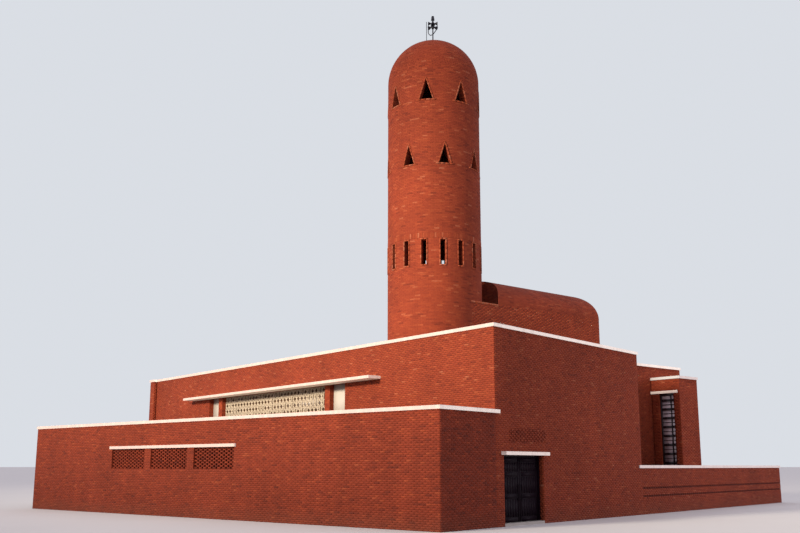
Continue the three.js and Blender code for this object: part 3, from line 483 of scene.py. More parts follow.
def dome_wall(s, z, depth):
    """The dome, with s the length round its foot and z the length up its arc."""
    angle = s / TOWER_RADIUS
    rise = z / TOWER_RADIUS
    reach = TOWER_RADIUS + depth
    level = reach * np.cos(rise)
    height = DOME_SPRING + reach * np.sin(rise)
    return TOWER + np.stack([level * np.cos(angle), level * np.sin(angle), height], -1)


def from_tower_axis(points):
    return (points - TOWER) * (1.0, 1.0, 0.0)


def from_dome_centre(points):
    return points - TOWER - DOME_SPRING * UP


# Holes in a wall, with their two edges as functions of height

def at_height(value):
    """An edge as a function of height, from such a function or a number."""
    return value if callable(value) else lambda z: value


def rectangle(s0, s1, z0, z1):
    return {"low": z0, "high": z1, "left": at_height(s0), "right": at_height(s1)}


def triangle(centre, width, z0, z1):
    def half(z):
        return width / 2 * (1 - (z - z0) / (z1 - z0))
    return {"low": z0, "high": z1, "left": lambda z: centre - half(z), "right": lambda z: centre + half(z)}


def bands(low, high, levels):
    """A course split where a hole starts or ends inside it."""
    cuts = [low] + [z for z in sorted(set(levels)) if low + THIN < z < high - THIN] + [high]
    return list(zip(cuts[:-1], cuts[1:]))


def spans(band, start, end, holes):
    """The stretches of a course that have brick, each with its edges at the band's foot and head."""
    low, high = band
    middle = (low + high) / 2
    found = []
    left = (start(low), start(high))
    for hole in sorted(holes, key=lambda hole: hole["left"](hole["low"])):
        if hole["low"] < middle < hole["high"]:
            found.append((left, (hole["left"](low), hole["left"](high))))
            left = (hole["right"](low), hole["right"](high))
    found.append((left, (end(low), end(high))))
    return found


def lay(boxes, place, length, bottom, top, holes=(), *, seed, proud=PROUD, start=0.0, end=None,
        tone_shift=0.0):
    """Stretcher bond over one wall. start and end are numbers or functions of height."""
    rng = np.random.default_rng(seed)
    start = at_height(start)
    end = at_height(length if end is None else end)
    levels = [z for hole in holes for z in (hole["low"], hole["high"])] + [bottom, top]
    count = int(length / PITCH) + 4
    for course in range(int(math.floor(bottom / COURSE)), int(math.ceil(top / COURSE))):
        low = course * COURSE + JOINT / 2
        tones = brick_tones(rng, count) + tone_shift
        uneven = rng.uniform(-UNEVEN, UNEVEN, (count, 4))
        starts = (np.arange(count) - 1) * PITCH - (PITCH / 2 if course % 2 else 0.0)
        ends = starts + PITCH - PERPEND
        shift = rng.uniform(-SIDEWAYS, SIDEWAYS, count)
        starts, ends = starts + shift, ends + shift
        for band in bands(low, low + COURSE - JOINT, levels):
            if not bottom <= sum(band) / 2 <= top:
                continue
            for (left_low, left_high), (right_low, right_high) in spans(band, start, end, holes):
                edges = (np.maximum(starts, left_low), np.minimum(ends, right_low),
                         np.minimum(ends, right_high), np.maximum(starts, left_high))
                keep = (edges[1] - edges[0] > SLIVER) & (edges[2] - edges[3] > SLIVER)
                edges = [edge[keep] for edge in edges]
                add_bricks(boxes, place, edges, band, proud + uneven[keep], tones[keep])


def brick_tones(rng, count):
    """Most bricks are middling red, some are burnt dark and a few are pale."""
    tones = rng.normal(MIDDLING_TONE, MIDDLING_SPREAD, count)
    pale = rng.random(count) < PALE_SHARE
    burnt = rng.random(count) < BURNT_SHARE
    tones = np.where(pale, rng.uniform(*PALE_TONES, count), tones)
    return np.clip(np.where(burnt, rng.uniform(*BURNT_TONES, count), tones), 0.0, 1.0)


def add_bricks(boxes, place, edges, band, proud, tones):
    """Bricks of one course. edges gives where their four front corners are along the wall."""
    if not len(tones):
        return
    s = np.stack(edges + edges, 1)
    low = np.full(len(tones), band[0])
    high = np.full(len(tones), band[1])
    z = np.stack([low, low, high, high] * 2, 1)
    depth = np.concatenate([proud, np.full_like(proud, -BACK)], 1)
    boxes.add_corners(place(s, z, depth), tones)


# Straight walls

SCREENS = (10.49, 13.57, 16.63)
SCREEN_WIDTH = 2.605
SCREEN_BOTTOM = 2.0
SCREEN_TOP = 2.88
SCREEN_LINTEL = (10.37, 19.36, 0.125)
DOORWAY = (3.7, 6.34, 2.5)
DOOR_LINTEL = (3.55, 6.49, 0.125)
DOOR_REVEAL = 0.185
WINDOW = (9.2, 21.8, 4.2, 5.68)
CANOPY = (6.66, 23.73, 0.12)
BACK_SHIFT = 1.5
PILASTER = (0.5, 0.2)
BAY_FRONT = 3.2
BAY = (16.05, 17.6)
BAY_WALL_TOP = 6.41
BAY_WINDOW = (0.45, 1.30, 0.9, 5.69)
BAY_LINTEL = (5.7, 5.83)
BAY_LINTEL_END = 0.09
BAY_BACK_START = 0.37
CLEAR_OF_LOW_WALL = 0.06
OVER_LOW_WALL = LOW_WALL_TOP + COPING
REVEAL_START = 0.003
GROOVE_BED = 0.004
GROOVE_FACE = -0.040
GROOVE_BACK = -0.0448

# The long front's bricks are set darker: painted shade.
FRONT_WALL_PAINTED_SHADE = -0.12
# The door reveals are laid paler: painted light.
REVEAL_PAINTED_LIGHT = 0.15
# The east face of the lower corner is laid darker: painted shade.
CORNER_PAINTED_SHADE = -0.25


def lay_front_block():
    front = flat_wall(CORNER, -EAST, -NORTH)
    holes = [rectangle(start, start + SCREEN_WIDTH, SCREEN_BOTTOM, SCREEN_TOP) for start in SCREENS]
    holes.append(rectangle(SCREEN_LINTEL[0], SCREEN_LINTEL[1], SCREEN_TOP, SCREEN_TOP + SCREEN_LINTEL[2]))
    boxes = Boxes()
    # Laid darker all over: painted shade.
    lay(boxes, front, LOWER_LENGTH, 0.0, LOWER_WALL_TOP, holes, seed=11, start=-PROUD,
        end=LOWER_LENGTH + PROUD, tone_shift=FRONT_WALL_PAINTED_SHADE)
    boxes.make("front_wall_bricks", BRICK)

    boxes = Boxes()
    length = SHORT_SIDE + LOWER_LENGTH * math.tan(TURN)
    lay(boxes, flat_wall(spot(-LOWER_LENGTH, 0), NORTH, -EAST), length - CLEAR, 0.0, LOWER_WALL_TOP, seed=12)
    boxes.make("front_block_end_bricks", BRICK)


def lay_entrance_face():
    face = flat_wall(CORNER, NORTH, EAST)
    holes = [rectangle(DOORWAY[0], DOORWAY[1], 0.0, DOORWAY[2]),
             rectangle(DOOR_LINTEL[0], DOOR_LINTEL[1], DOORWAY[2], DOORWAY[2] + DOOR_LINTEL[2]),
             rectangle(SHORT_SIDE, SHORT_SIDE + COPING_LAP, LOWER_WALL_TOP, LOWER_WALL_TOP + COPING)]
    boxes = Boxes()
    # The lower corner's part of the entrance face is laid darker: painted shade.
    lay(boxes, face, ENTRANCE_END, 0.0, LOWER_WALL_TOP, seed=25, end=SHORT_SIDE, tone_shift=CORNER_PAINTED_SHADE)
    lay(boxes, face, ENTRANCE_END, 0.0, LOWER_WALL_TOP, holes, seed=21, start=SHORT_SIDE + PERPEND)
    lay(boxes, face, ENTRANCE_END, LOWER_WALL_TOP, HALL_WALL_TOP, holes, seed=21, start=SHORT_SIDE - PROUD,
        end=ENTRANCE_END + PROUD)
    # Paler bricks in the door reveals: painted light.
    for side, out in ((DOORWAY[0], NORTH), (DOORWAY[1], -NORTH)):
        lay(boxes, flat_wall(spot(0, side), -EAST, out), DOOR_REVEAL, 0.0, DOORWAY[2], seed=24,
            start=REVEAL_START, tone_shift=REVEAL_PAINTED_LIGHT)
    boxes.make("entrance_face_bricks", BRICK)

    boxes = Boxes()
    flank_x = (HALL_FLANK - (ENTRANCE_END - SHORT_SIDE) * math.sin(TURN)) / math.cos(TURN)
    place = flat_wall(spot(0, ENTRANCE_END), -EAST, NORTH)
    lay(boxes, place, flank_x - CLEAR, OVER_LOW_WALL, HALL_WALL_TOP, seed=22)
    lay(boxes, place, flank_x - CLEAR, 0.0, OVER_LOW_WALL, seed=23, start=LOW_WALL_THICK + CLEAR_OF_LOW_WALL)
    boxes.make("return_wall_bricks", BRICK)


def lay_low_wall():
    length = LOW_WALL_END - ENTRANCE_END
    outside = flat_wall(spot(0, ENTRANCE_END), NORTH, EAST)
    inside = flat_wall(spot(-LOW_WALL_THICK, ENTRANCE_END), NORTH, -EAST)
    grooves = [rectangle(-PAST_ENDS, length + PAST_ENDS, low, high) for low, high in GROOVES]
    boxes = Boxes()
    lay(boxes, outside, length, 0.0, LOW_WALL_TOP, grooves, seed=31, end=length + PROUD)
    lay(boxes, inside, length, 0.0, LOW_WALL_TOP, seed=32, start=WIDE_CLEAR, end=length + PROUD)
    lay(boxes, flat_wall(spot(0, LOW_WALL_END), -EAST, NORTH), LOW_WALL_THICK, 0.0, LOW_WALL_TOP, seed=33)
    # The grooves are lined with a set-back course of the darkest bricks: painted shade in the grooves.
    for low, high in GROOVES:
        for start in np.arange(CLEAR, length - PITCH, PITCH):
            boxes.block(outside, start, start + PITCH - PERPEND, low + GROOVE_BED, high - GROOVE_BED,
                        GROOVE_FACE, GROOVE_BACK, 0.0)
    boxes.make("compound_wall_bricks", BRICK)


def window_holes(shift):
    """A strip window and its canopy in a long wall of the hall."""
    return [rectangle(WINDOW[0] + shift, WINDOW[1] + shift, WINDOW[2], WINDOW[3]),
            rectangle(CANOPY[0] + shift, CANOPY[1] + shift, WINDOW[3], WINDOW[3] + CANOPY[2])]


def lay_hall():
    boxes = Boxes()
    side = hall_face(0, 0, ALONG_HALL, -INTO_HALL)
    inner = HALL_LENGTH - PILASTER[0]
    lay(boxes, side, inner, LOWER_ROOF, HALL_WALL_TOP, window_holes(0.0), seed=41)
    lay(boxes, side, inner, 0.0, LOWER_ROOF, seed=42, start=LOWER_LENGTH / math.cos(TURN) + WIDE_CLEAR)
    pilaster = hall_face(inner, -PILASTER[1], ALONG_HALL, -INTO_HALL)
    lay(boxes, pilaster, PILASTER[0], 0.0, HALL_WALL_TOP, seed=43, start=-PROUD, end=PILASTER[0] + PROUD)
    pilaster = hall_face(inner, 0, -INTO_HALL, -ALONG_HALL)
    lay(boxes, pilaster, PILASTER[1], 0.0, HALL_WALL_TOP, seed=44, start=PROUD)
    boxes.make("hall_front_bricks", BRICK)

    boxes = Boxes()
    far = hall_face(HALL_LENGTH, -PILASTER[1], INTO_HALL, ALONG_HALL)
    lay(boxes, far, HALL_WIDTH + PILASTER[1], 0.0, HALL_WALL_TOP, seed=45)
    boxes.make("far_wall_bricks", BRICK)

    boxes = Boxes()
    back = hall_face(HALL_FLANK, HALL_WIDTH, ALONG_HALL, INTO_HALL)
    holes = window_holes(BACK_SHIFT - HALL_FLANK)
    length = HALL_LENGTH - HALL_FLANK
    lay(boxes, back, length, 0.0, HALL_WALL_TOP, holes, seed=46, start=-PROUD, end=length + PROUD)
    boxes.make("back_wall_bricks", BRICK)

    boxes = Boxes()
    near_v = (ENTRANCE_END - SHORT_SIDE) / math.cos(TURN) - HALL_FLANK * math.tan(TURN)
    flank = hall_face(HALL_FLANK, near_v, INTO_HALL, -ALONG_HALL)
    bay = [rectangle(BAY[0] - near_v, BAY[1] - near_v, 0.0, BAY_WALL_TOP + COPING)]
    lay(boxes, flank, HALL_WIDTH - near_v, 0.0, HALL_WALL_TOP, bay, seed=47, start=WIDE_CLEAR)
    boxes.make("hall_flank_bricks", BRICK)


def lay_bay():
    width = HALL_FLANK - BAY_FRONT
    depth = BAY[1] - BAY[0]
    holes = [rectangle(*BAY_WINDOW), rectangle(0.0, width - BAY_LINTEL_END, *BAY_LINTEL)]
    boxes = Boxes()
    front = hall_face(HALL_FLANK, BAY[0], -ALONG_HALL, -INTO_HALL)
    lay(boxes, front, width, 0.0, OVER_LOW_WALL, holes, seed=51, start=CLEAR,
        end=width - CLEAR_OF_LOW_WALL * 2)
    lay(boxes, front, width, OVER_LOW_WALL, BAY_WALL_TOP, holes, seed=51, start=CLEAR, end=width + PROUD)
    end_face = hall_face(BAY_FRONT, BAY[0], INTO_HALL, -ALONG_HALL)
    lay(boxes, end_face, depth, OVER_LOW_WALL, BAY_WALL_TOP, seed=52, end=depth + PROUD)
    back = hall_face(BAY_FRONT, BAY[1], ALONG_HALL, INTO_HALL)
    lay(boxes, back, width, OVER_LOW_WALL, BAY_WALL_TOP, seed=53, end=width - CLEAR)
    lay(boxes, back, width, 0.0, OVER_LOW_WALL, seed=53, start=BAY_BACK_START, end=width - CLEAR)
    boxes.make("bay_bricks", BRICK)


# Barrel vault

VAULT_LEFT = 10.58
VAULT_START = 3.5
VAULT_END = 12.08
VAULT_SPRING = 9.14
VAULT_RISE = 1.54
VAULT_STEP = 10.15
VAULT_CLEAR = 2.82
VAULT_FRONT = 2.0
VAULT_FRONT_END = 1.56
EDGING_PROUD = 0.02
# The edging course is laid paler: painted highlight along the ledge.
EDGING_PAINTED_HIGHLIGHT = 0.4
VAULT_MIDDLE = (HALL_FLANK + VAULT_LEFT) / 2
VAULT_HALF = (VAULT_LEFT - HALL_FLANK) / 2

# Angles round the half ellipse, with the length of its arc from the right springing up to each of them
ARC_ANGLES = np.linspace(0.0, math.pi, 400)
ARC_STEPS = np.hypot(np.diff(VAULT_HALF * np.cos(ARC_ANGLES)), np.diff(VAULT_RISE * np.sin(ARC_ANGLES)))
ARC_LENGTHS = np.concatenate([[0.0], np.cumsum(ARC_STEPS)])


def vault_roof(s, z, depth):
    """s runs from the near end into the hall, z is the length over the vault from its right springing."""
    angle = np.interp(z, ARC_LENGTHS, ARC_ANGLES)
    normal_x = np.cos(angle) / VAULT_HALF
    normal_z = np.sin(angle) / VAULT_RISE
    size = np.hypot(normal_x, normal_z)
    across = VAULT_HALF * np.cos(angle) + depth * normal_x / size
    height = VAULT_RISE * np.sin(angle) + depth * normal_z / size
    u = (VAULT_MIDDLE - across)[..., None]
    v = (VAULT_START + s)[..., None]
    return HALL_CORNER + u * ALONG_HALL + v * INTO_HALL + (VAULT_SPRING + height)[..., None] * UP


def from_vault_axis(points):
    across = VAULT_MIDDLE - (points - HALL_CORNER) @ ALONG_HALL
    height = np.maximum(points[..., 2] - VAULT_SPRING, 0.0)
    return -(across / VAULT_HALF ** 2)[..., None] * ALONG_HALL + (height / VAULT_RISE ** 2)[..., None] * UP


def vault_start(z):
    """Where the vault begins beside the tower, for a length z over its arc."""
    angle = np.interp(z, ARC_LENGTHS, ARC_ANGLES)
    u = VAULT_MIDDLE - VAULT_HALF * math.cos(angle)
    from_tower = TOWER - HALL_CORNER
    tower_u = float(from_tower @ ALONG_HALL)
    tower_v = float(from_tower @ INTO_HALL)
    gap = VAULT_CLEAR ** 2 - (u - tower_u) ** 2
    reach = tower_v + math.sqrt(gap) if gap > 0 else VAULT_START
    return max(0.0, reach - VAULT_START) + PERPEND


def lay_vault():
    boxes = Boxes()
    length = VAULT_END - VAULT_START
    right = hall_face(HALL_FLANK, VAULT_START, INTO_HALL, -ALONG_HALL)
    edging = rectangle(-PAST_ENDS, vault_start(0.0), VAULT_SPRING - COURSE, VAULT_SPRING)
    lay(boxes, right, length, HALL_HEIGHT, VAULT_SPRING, [edging], seed=61, end=length + PROUD)
    # Paler edging bricks: painted highlight along the ledge.
    rng = np.random.default_rng(67)
    for start in np.arange(0.0, vault_start(0.0) - COURSE, COURSE):
        boxes.block(right, start, start + COURSE - JOINT, edging["low"], edging["high"], EDGING_PROUD, -BACK,
                    brick_tones(rng, 1)[0] + EDGING_PAINTED_HIGHLIGHT)
    lay(boxes, right, length, ROOF_TOP, HALL_HEIGHT, seed=61, end=VAULT_STEP - VAULT_START)
    left = hall_face(VAULT_LEFT, VAULT_START, INTO_HALL, ALONG_HALL)
    lay(boxes, left, length, ROOF_TOP, VAULT_SPRING, seed=62, start=-PROUD, end=length + PROUD)
    front = hall_face(VAULT_LEFT, VAULT_START, -ALONG_HALL, -INTO_HALL)
    lay(boxes, front, VAULT_FRONT, ROOF_TOP, VAULT_SPRING, seed=63, end=VAULT_FRONT_END)
    back = hall_face(HALL_FLANK, VAULT_END, ALONG_HALL, INTO_HALL)
    width = VAULT_LEFT - HALL_FLANK
    lay(boxes, back, width, ROOF_TOP, VAULT_SPRING, seed=64)

    def reach(z):
        return VAULT_HALF * math.sqrt(max(0.0, 1 - ((z - VAULT_SPRING) / VAULT_RISE) ** 2))
    lay(boxes, back, width, VAULT_SPRING, VAULT_SPRING + VAULT_RISE, seed=65,
        start=lambda z: VAULT_HALF - reach(z), end=lambda z: VAULT_HALF + reach(z))
    boxes.make("vault_wall_bricks", BRICK)

    boxes = Boxes()
    lay(boxes, vault_roof, length, 0.0, float(ARC_LENGTHS[-1]), seed=66, proud=ROUND_PROUD,
        start=vault_start, end=length + PROUD)
    boxes.make("vault_roof_bricks", BRICK, outward=from_vault_axis)


# Round tower

SLOTS = {"count": 16, "phase": 3.45, "width": 0.22, "low": 10.6, "high": 11.7}
LOWER_TRIANGLES = {"count": 8, "phase": 6.9, "width": 0.53, "low": 15.14, "high": 16.03}
UPPER_TRIANGLES = {"count": 8, "phase": 29.4, "width": 0.60, "low": 18.1, "high": 19.05}
SOLDIERS = (11.775, 12.0)
SOLDIER_PROUD = 0.014
SOLDIER_PALER = 0.08
TOWER_ROUND = 2 * math.pi * TOWER_RADIUS
LEAST_IN_RING = 6
FRAME_PROUD = 0.030
FRAME_WIDTH = 0.055
FRAME_TONES = (0.65, 0.98)
FRAME_JOINT = 0.04
SILL_BEYOND = 0.10
TIP_HALF = 0.004


def round_places(row):
    """Arc positions of a row of openings, from zero to a full turn."""
    angles = (row["phase"] + 360.0 * np.arange(row["count"]) / row["count"]) % 360.0
    return sorted(math.radians(angle) * TOWER_RADIUS for angle in angles)


def lay_tower():
    holes = []
    for s in round_places(SLOTS):
        holes.append(rectangle(s - SLOTS["width"] / 2, s + SLOTS["width"] / 2, SLOTS["low"], SLOTS["high"]))
    for row in (LOWER_TRIANGLES, UPPER_TRIANGLES):
        holes += [triangle(s, row["width"], row["low"], row["high"]) for s in round_places(row)]
    holes.append(rectangle(-PAST_ENDS, TOWER_ROUND + PAST_ENDS, *SOLDIERS))
    boxes = Boxes()
    lay(boxes, round_wall, TOWER_ROUND, ROOF_TOP, DOME_SPRING, holes, seed=71, proud=ROUND_PROUD)
    rng = np.random.default_rng(74)
    count = round(TOWER_ROUND / COURSE)
    for start in np.arange(count) * TOWER_ROUND / count:
        boxes.block(round_wall, start, start + TOWER_ROUND / count - JOINT, SOLDIERS[0] + JOINT / 2,
                    SOLDIERS[1] - JOINT / 2, SOLDIER_PROUD, -BACK, brick_tones(rng, 1)[0] + SOLDIER_PALER)
    boxes.make("tower_bricks", BRICK, outward=from_tower_axis)


def lay_dome():
    """Rings of bricks up the dome, with fewer in each than below it."""
    rng = np.random.default_rng(72)
    boxes = Boxes()
    rings = round(TOWER_ROUND / 4 / COURSE)
    rise = TOWER_ROUND / 4 / rings
    for ring in range(rings):
        low = ring * rise + JOINT / 2
        high = low + rise - JOINT
        around = TOWER_ROUND * math.cos((low + high) / 2 / TOWER_RADIUS)
        count = max(LEAST_IN_RING, round(around / PITCH))
        step = TOWER_ROUND / count
        gap = JOINT * step / (around / count)
        starts = (np.arange(count) + (0.5 if ring % 2 else 0.0)) * step
        edges = [starts, starts + step - gap, starts + step - gap, starts]
        proud = ROUND_PROUD + rng.uniform(-UNEVEN, UNEVEN, (count, 4))
        add_bricks(boxes, dome_wall, edges, (low, high), proud, brick_tones(rng, count))
    boxes.make("dome_bricks", BRICK, outward=from_dome_centre)


def frame_openings():
    """Thin brick-on-edge bands that stand out round the slots and triangles."""
    boxes = Boxes()
    rng = np.random.default_rng(73)

    def brick(*outline):
        boxes.prism(round_wall, outline, FRAME_PROUD, -BACK, rng.uniform(*FRAME_TONES))

    def band(start, end, across, pieces=5):
        """A run of short bricks between two points. across leads to the other edge of the band."""
        start, end, across = np.array(start), np.array(end), np.array(across)
        for i in range(pieces):
            low = start + (end - start) * ((i + FRAME_JOINT) / pieces)
            high = start + (end - start) * ((i + 1 - FRAME_JOINT) / pieces)
            if across[1]:
                brick(low, high, high + across, low + across)
            else:
                brick(low, low + across, high + across, high)

    upward = (0.0, FRAME_WIDTH)
    low, high = SLOTS["low"], SLOTS["high"]
    for s in round_places(SLOTS):
        left = s - SLOTS["width"] / 2 - FRAME_WIDTH
        right = s + SLOTS["width"] / 2
        for side in (left, right):
            band((side, low), (side, high), (FRAME_WIDTH, 0.0))
        for level in (low - FRAME_WIDTH, high):
            band((left, level), (right + FRAME_WIDTH, level), upward, 2)
    for row in (LOWER_TRIANGLES, UPPER_TRIANGLES):
        low, high = row["low"], row["high"]
        half = row["width"] / 2
        slope = (high - low) / half
        wide = FRAME_WIDTH * math.hypot(1, slope) / slope
        cap = high + slope * wide / 2
        ends = half + wide + SILL_BEYOND
        for s in round_places(row):
            for side in (-1, 1):
                foot = (s + side * (half + wide / 2) - wide / 2, low)
                tip = (s + side * wide / 2 - wide / 2, high)
                band(foot, tip, (wide, 0.0))
            brick((s - wide, high), (s + wide, high), (s + TIP_HALF, cap), (s - TIP_HALF, cap))
            band((s - ends, low - FRAME_WIDTH), (s + ends, low - FRAME_WIDTH), upward, 4)
    boxes.make("tower_opening_frames", BRICK)


# Open brick screens

HONEYCOMB_COLUMNS = 8.5
HONEYCOMB_BRICK = 0.57
SCREEN_RECESS = 0.06
SCREEN_THICK = 0.115
SCREEN_BED = 0.008
SCREEN_UNEVEN = 0.003
SCREEN_DARKER = 0.2
TIE_CLEAR = 0.004
TIE_SET_BACK = 0.008
TIE_TONE = 0.1


def brick_screens():
    """Staggered bricks with gaps between them, tied where they overlap, one panel for each opening."""
    front = flat_wall(CORNER, -EAST, -NORTH)
    rng = np.random.default_rng(81)
    rows = round((SCREEN_TOP - SCREEN_BOTTOM) / COURSE)
    row_height = (SCREEN_TOP - SCREEN_BOTTOM) / rows
    pitch = SCREEN_WIDTH / HONEYCOMB_COLUMNS
    brick = pitch * HONEYCOMB_BRICK
    overlap = brick - pitch / 2
    back = -SCREEN_RECESS - SCREEN_THICK
    for number, start in enumerate(SCREENS, 1):
        boxes = Boxes()
        end = start + SCREEN_WIDTH
        for row in range(rows):
            low = SCREEN_BOTTOM + row * row_height
            high = low + row_height
            shift = -pitch / 2 if row % 2 else 0.0
            for column in range(int(HONEYCOMB_COLUMNS) + 2):
                left = max(start, start + shift + column * pitch)
                right = min(end, start + shift + column * pitch + brick)
                if right - left < SLIVER:
                    continue
                face = -SCREEN_RECESS + rng.uniform(-SCREEN_UNEVEN, SCREEN_UNEVEN)
                boxes.block(front, left, right, low + SCREEN_BED / 2, high - SCREEN_BED / 2, face, back,
                            brick_tones(rng, 1)[0] - SCREEN_DARKER)
                for tie in (left, right - overlap):
                    tie_left = max(tie, start)
                    tie_right = min(tie + overlap, right)
                    if row + 1 < rows and tie_right - tie_left > SLIVER:
                        boxes.block(front, tie_left + TIE_CLEAR, tie_right - TIE_CLEAR, high - SCREEN_BED / 2,
                                    high + SCREEN_BED / 2, -SCREEN_RECESS - TIE_SET_BACK, back + TIE_SET_BACK,
                                    TIE_TONE)
        piece = boxes.make(f"open_brick_panel_{number}", BRICK)
        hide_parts(f"brick_screen_{number}")


# White precast lattices of the strip windows

LATTICE = (10.79, 20.40)
WINDOW_RECESS = 0.24
LATTICE_THICK = 0.08
BLOCKS_UP = 5
BAR = 0.027
STROKE = 0.9
STROKE_RECESS = 0.005
MIXED_SHARE = 0.35
# Crossing bars lie a little deeper than each other, so no faces coincide
LAYER = 0.001
GLASS_EDGE = 0.01
GLASS_BEHIND = (0.030, 0.020)


def lattice_bar(boxes, place, start, end, width, front, back):
    """A straight bar of the lattice between two points of the wall's frame."""
    start, end = np.array(start), np.array(end)
    side = np.array([start[1] - end[1], end[0] - start[0]])
    side = side / np.hypot(*side) * width / 2
    boxes.prism(place, (start - side, end - side, end + side, start + side), front, back)


def white_lattice(side, node, place, shift):
    """Square blocks with whole or half diamonds, or a cross in the lowest row, between two plain panels."""
    start, end = LATTICE[0] + shift, LATTICE[1] + shift
    low, high = WINDOW[2], WINDOW[3]
    size = (high - low) / BLOCKS_UP
    columns = round((end - start) / size)
    wide = (end - start) / columns
    front, back = -WINDOW_RECESS, -WINDOW_RECESS - LATTICE_THICK
    boxes = Boxes()
    for column in range(columns + 1):
        s = start + column * wide
        boxes.block(place, max(start, s - BAR / 2), min(end, s + BAR / 2), low, high, front, back)
    for row in range(BLOCKS_UP + 1):
        z = low + row * size
        boxes.block(place, start, end, max(low, z - BAR / 2), min(high, z + BAR / 2), front - LAYER,
                    back + LAYER)
    rng = np.random.default_rng(82)
    for row in range(BLOCKS_UP):
        for column in range(columns):
            s, z = start + (column + 0.5) * wide, low + (row + 0.5) * size
            bottom, right = (s, z - size / 2), (s + wide / 2, z)
            top, left = (s, z + size / 2), (s - wide / 2, z)
            strokes = [(bottom, right), (right, top), (top, left), (left, bottom)]
            if row == 0:
                strokes = [(bottom, top), (left, right)]
            elif rng.random() < MIXED_SHARE:
                strokes = strokes[:2] + [(bottom, top)]
            for number, (first, second) in enumerate(strokes):
                step = STROKE_RECESS + LAYER * number
                lattice_bar(boxes, place, first, second, BAR * STROKE, front - step, back + step)
    panels = Boxes()
    for left, right in ((WINDOW[0] + shift, start), (end, WINDOW[1] + shift)):
        panels.block(place, left + LAYER, right - LAYER, low + LAYER, high - LAYER, front - 2 * LAYER, back)
    panels.make(f"{side}_window_side_panels", PANEL_WHITE_PAINTED_SHADE)
    piece = boxes.make(f"{side}_window_lattice", LATTICE_WHITE_PAINTED_SHADE)
    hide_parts(node)
    glass = Boxes()
    glass.block(place, start + GLASS_EDGE, end - GLASS_EDGE, low + GLASS_EDGE, high - GLASS_EDGE,
                back + GLASS_BEHIND[0], back + GLASS_BEHIND[1])
    glass.make(f"{side}_window_glass", BROWN_GLASS)


# Entrance door, bay window and relief band

LEAF_BACK = -0.290
LEAF_THICK = 0.045
LEAF_EDGE = 0.004
STILE = 0.11
RAIL = 0.16
RAIL_SHARES = (0.36, 0.70)
RAIL_CLEAR = 0.002
FRAME_RAISED = 0.012
BOARDS = 6
BOARD_RAISED = 0.006
BOARD_JOINT = 0.003
BOARD_INSET = 0.02


def door_panels():
    """Raised frames and boards on both faces of each leaf."""
    for name, body in (("door_left", "door_leaf_left"), ("door_right", "door_leaf_right")):
        low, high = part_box(name)
        leaf_back = spot(LEAF_BACK, 0)[0]
        outer = flat_wall(np.array([leaf_back + LEAF_THICK, low.y, low.z]), NORTH, EAST)
        inner = flat_wall(np.array([leaf_back, high.y, low.z]), -NORTH, -EAST)
        width, height = high.y - low.y, high.z - low.z
        levels = (LEAF_EDGE, height * RAIL_SHARES[0], height * RAIL_SHARES[1], height - LEAF_EDGE - RAIL)
        step = (width - 2 * STILE - 2 * BOARD_INSET) / BOARDS
        boxes = Boxes()
        for place in (outer, inner):
            for left, right in ((LEAF_EDGE, STILE), (width - STILE, width - LEAF_EDGE)):
                boxes.block(place, left, right, LEAF_EDGE, height - LEAF_EDGE, FRAME_RAISED, -LEAF_EDGE)
            for z in levels:
                boxes.block(place, STILE + RAIL_CLEAR, width - STILE - RAIL_CLEAR, z, z + RAIL, FRAME_RAISED,
                            -LEAF_EDGE)
            for rail, next_rail in zip(levels[:-1], levels[1:]):
                for i in range(BOARDS):
                    s = STILE + BOARD_INSET + step * i
                    boxes.block(place, s + BOARD_JOINT, s + step - BOARD_JOINT, rail + RAIL + BOARD_INSET,
                                next_rail - BOARD_INSET, BOARD_RAISED, -LEAF_EDGE)
        boxes.make(f"{name}_panels", DOOR, body)


BAY_ROWS = 21
BAY_EDGE = 0.05
BAY_STILE = 0.09
BAY_HEAD = 0.11
BAY_MULLION = 0.065
BAY_SPLIT = 0.74
BAY_STEEL = (-0.075, -0.155)
BAY_GLASS = -0.115
BAY_GLASS_THICK = 0.012
# Half the height of a bar, and how far it stands before the frame
HEAVY_BAR = (0.058, 0.02)
THIN_BAR = (0.017, -0.01)


def bay_glazing():
    """Steel window of the bay: one wide and one narrow light, a heavy bar at every other row, and glass."""
    place = hall_face(HALL_FLANK, BAY[0], -ALONG_HALL, -INTO_HALL)
    left, right, bottom, top = BAY_WINDOW
    split = left + (right - left) * BAY_SPLIT
    wide_light = (left + BAY_STILE, split - BAY_MULLION / 2)
    narrow_light = (split + BAY_MULLION / 2, right - BAY_EDGE)
    sill, head = bottom + BAY_EDGE, top - BAY_HEAD
    steel = Boxes()
    for outline in ((left, wide_light[0], bottom, top), (narrow_light[1], right, bottom, top),
                    (wide_light[0], narrow_light[1], bottom, sill),
                    (wide_light[0], narrow_light[1], head, top),
                    (wide_light[1], narrow_light[0], sill, head)):
        steel.block(place, *outline, *BAY_STEEL)
    pitch = (top - bottom - BAY_EDGE - BAY_HEAD) / BAY_ROWS
    for row in range(1, BAY_ROWS):
        half, forward = THIN_BAR if row % 2 else HEAVY_BAR
        z = sill + row * pitch
        for light_left, light_right in (wide_light, narrow_light):
            steel.block(place, light_left, light_right, z - half, z + half, BAY_STEEL[0] + forward, BAY_GLASS)
    piece = steel.make("bay_window_frame", WINDOW_STEEL)
    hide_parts("bay_window")
    glass = Boxes()
    glass.block(place, left + BAY_EDGE / 2, right - BAY_EDGE / 2, bottom + BAY_EDGE / 2, top - BAY_EDGE / 2,
                BAY_GLASS + BAY_GLASS_THICK / 2, BAY_GLASS - BAY_GLASS_THICK / 2)
    glass.make("bay_window_glass", GLASS_WITH_PAINTED_REFLECTION)


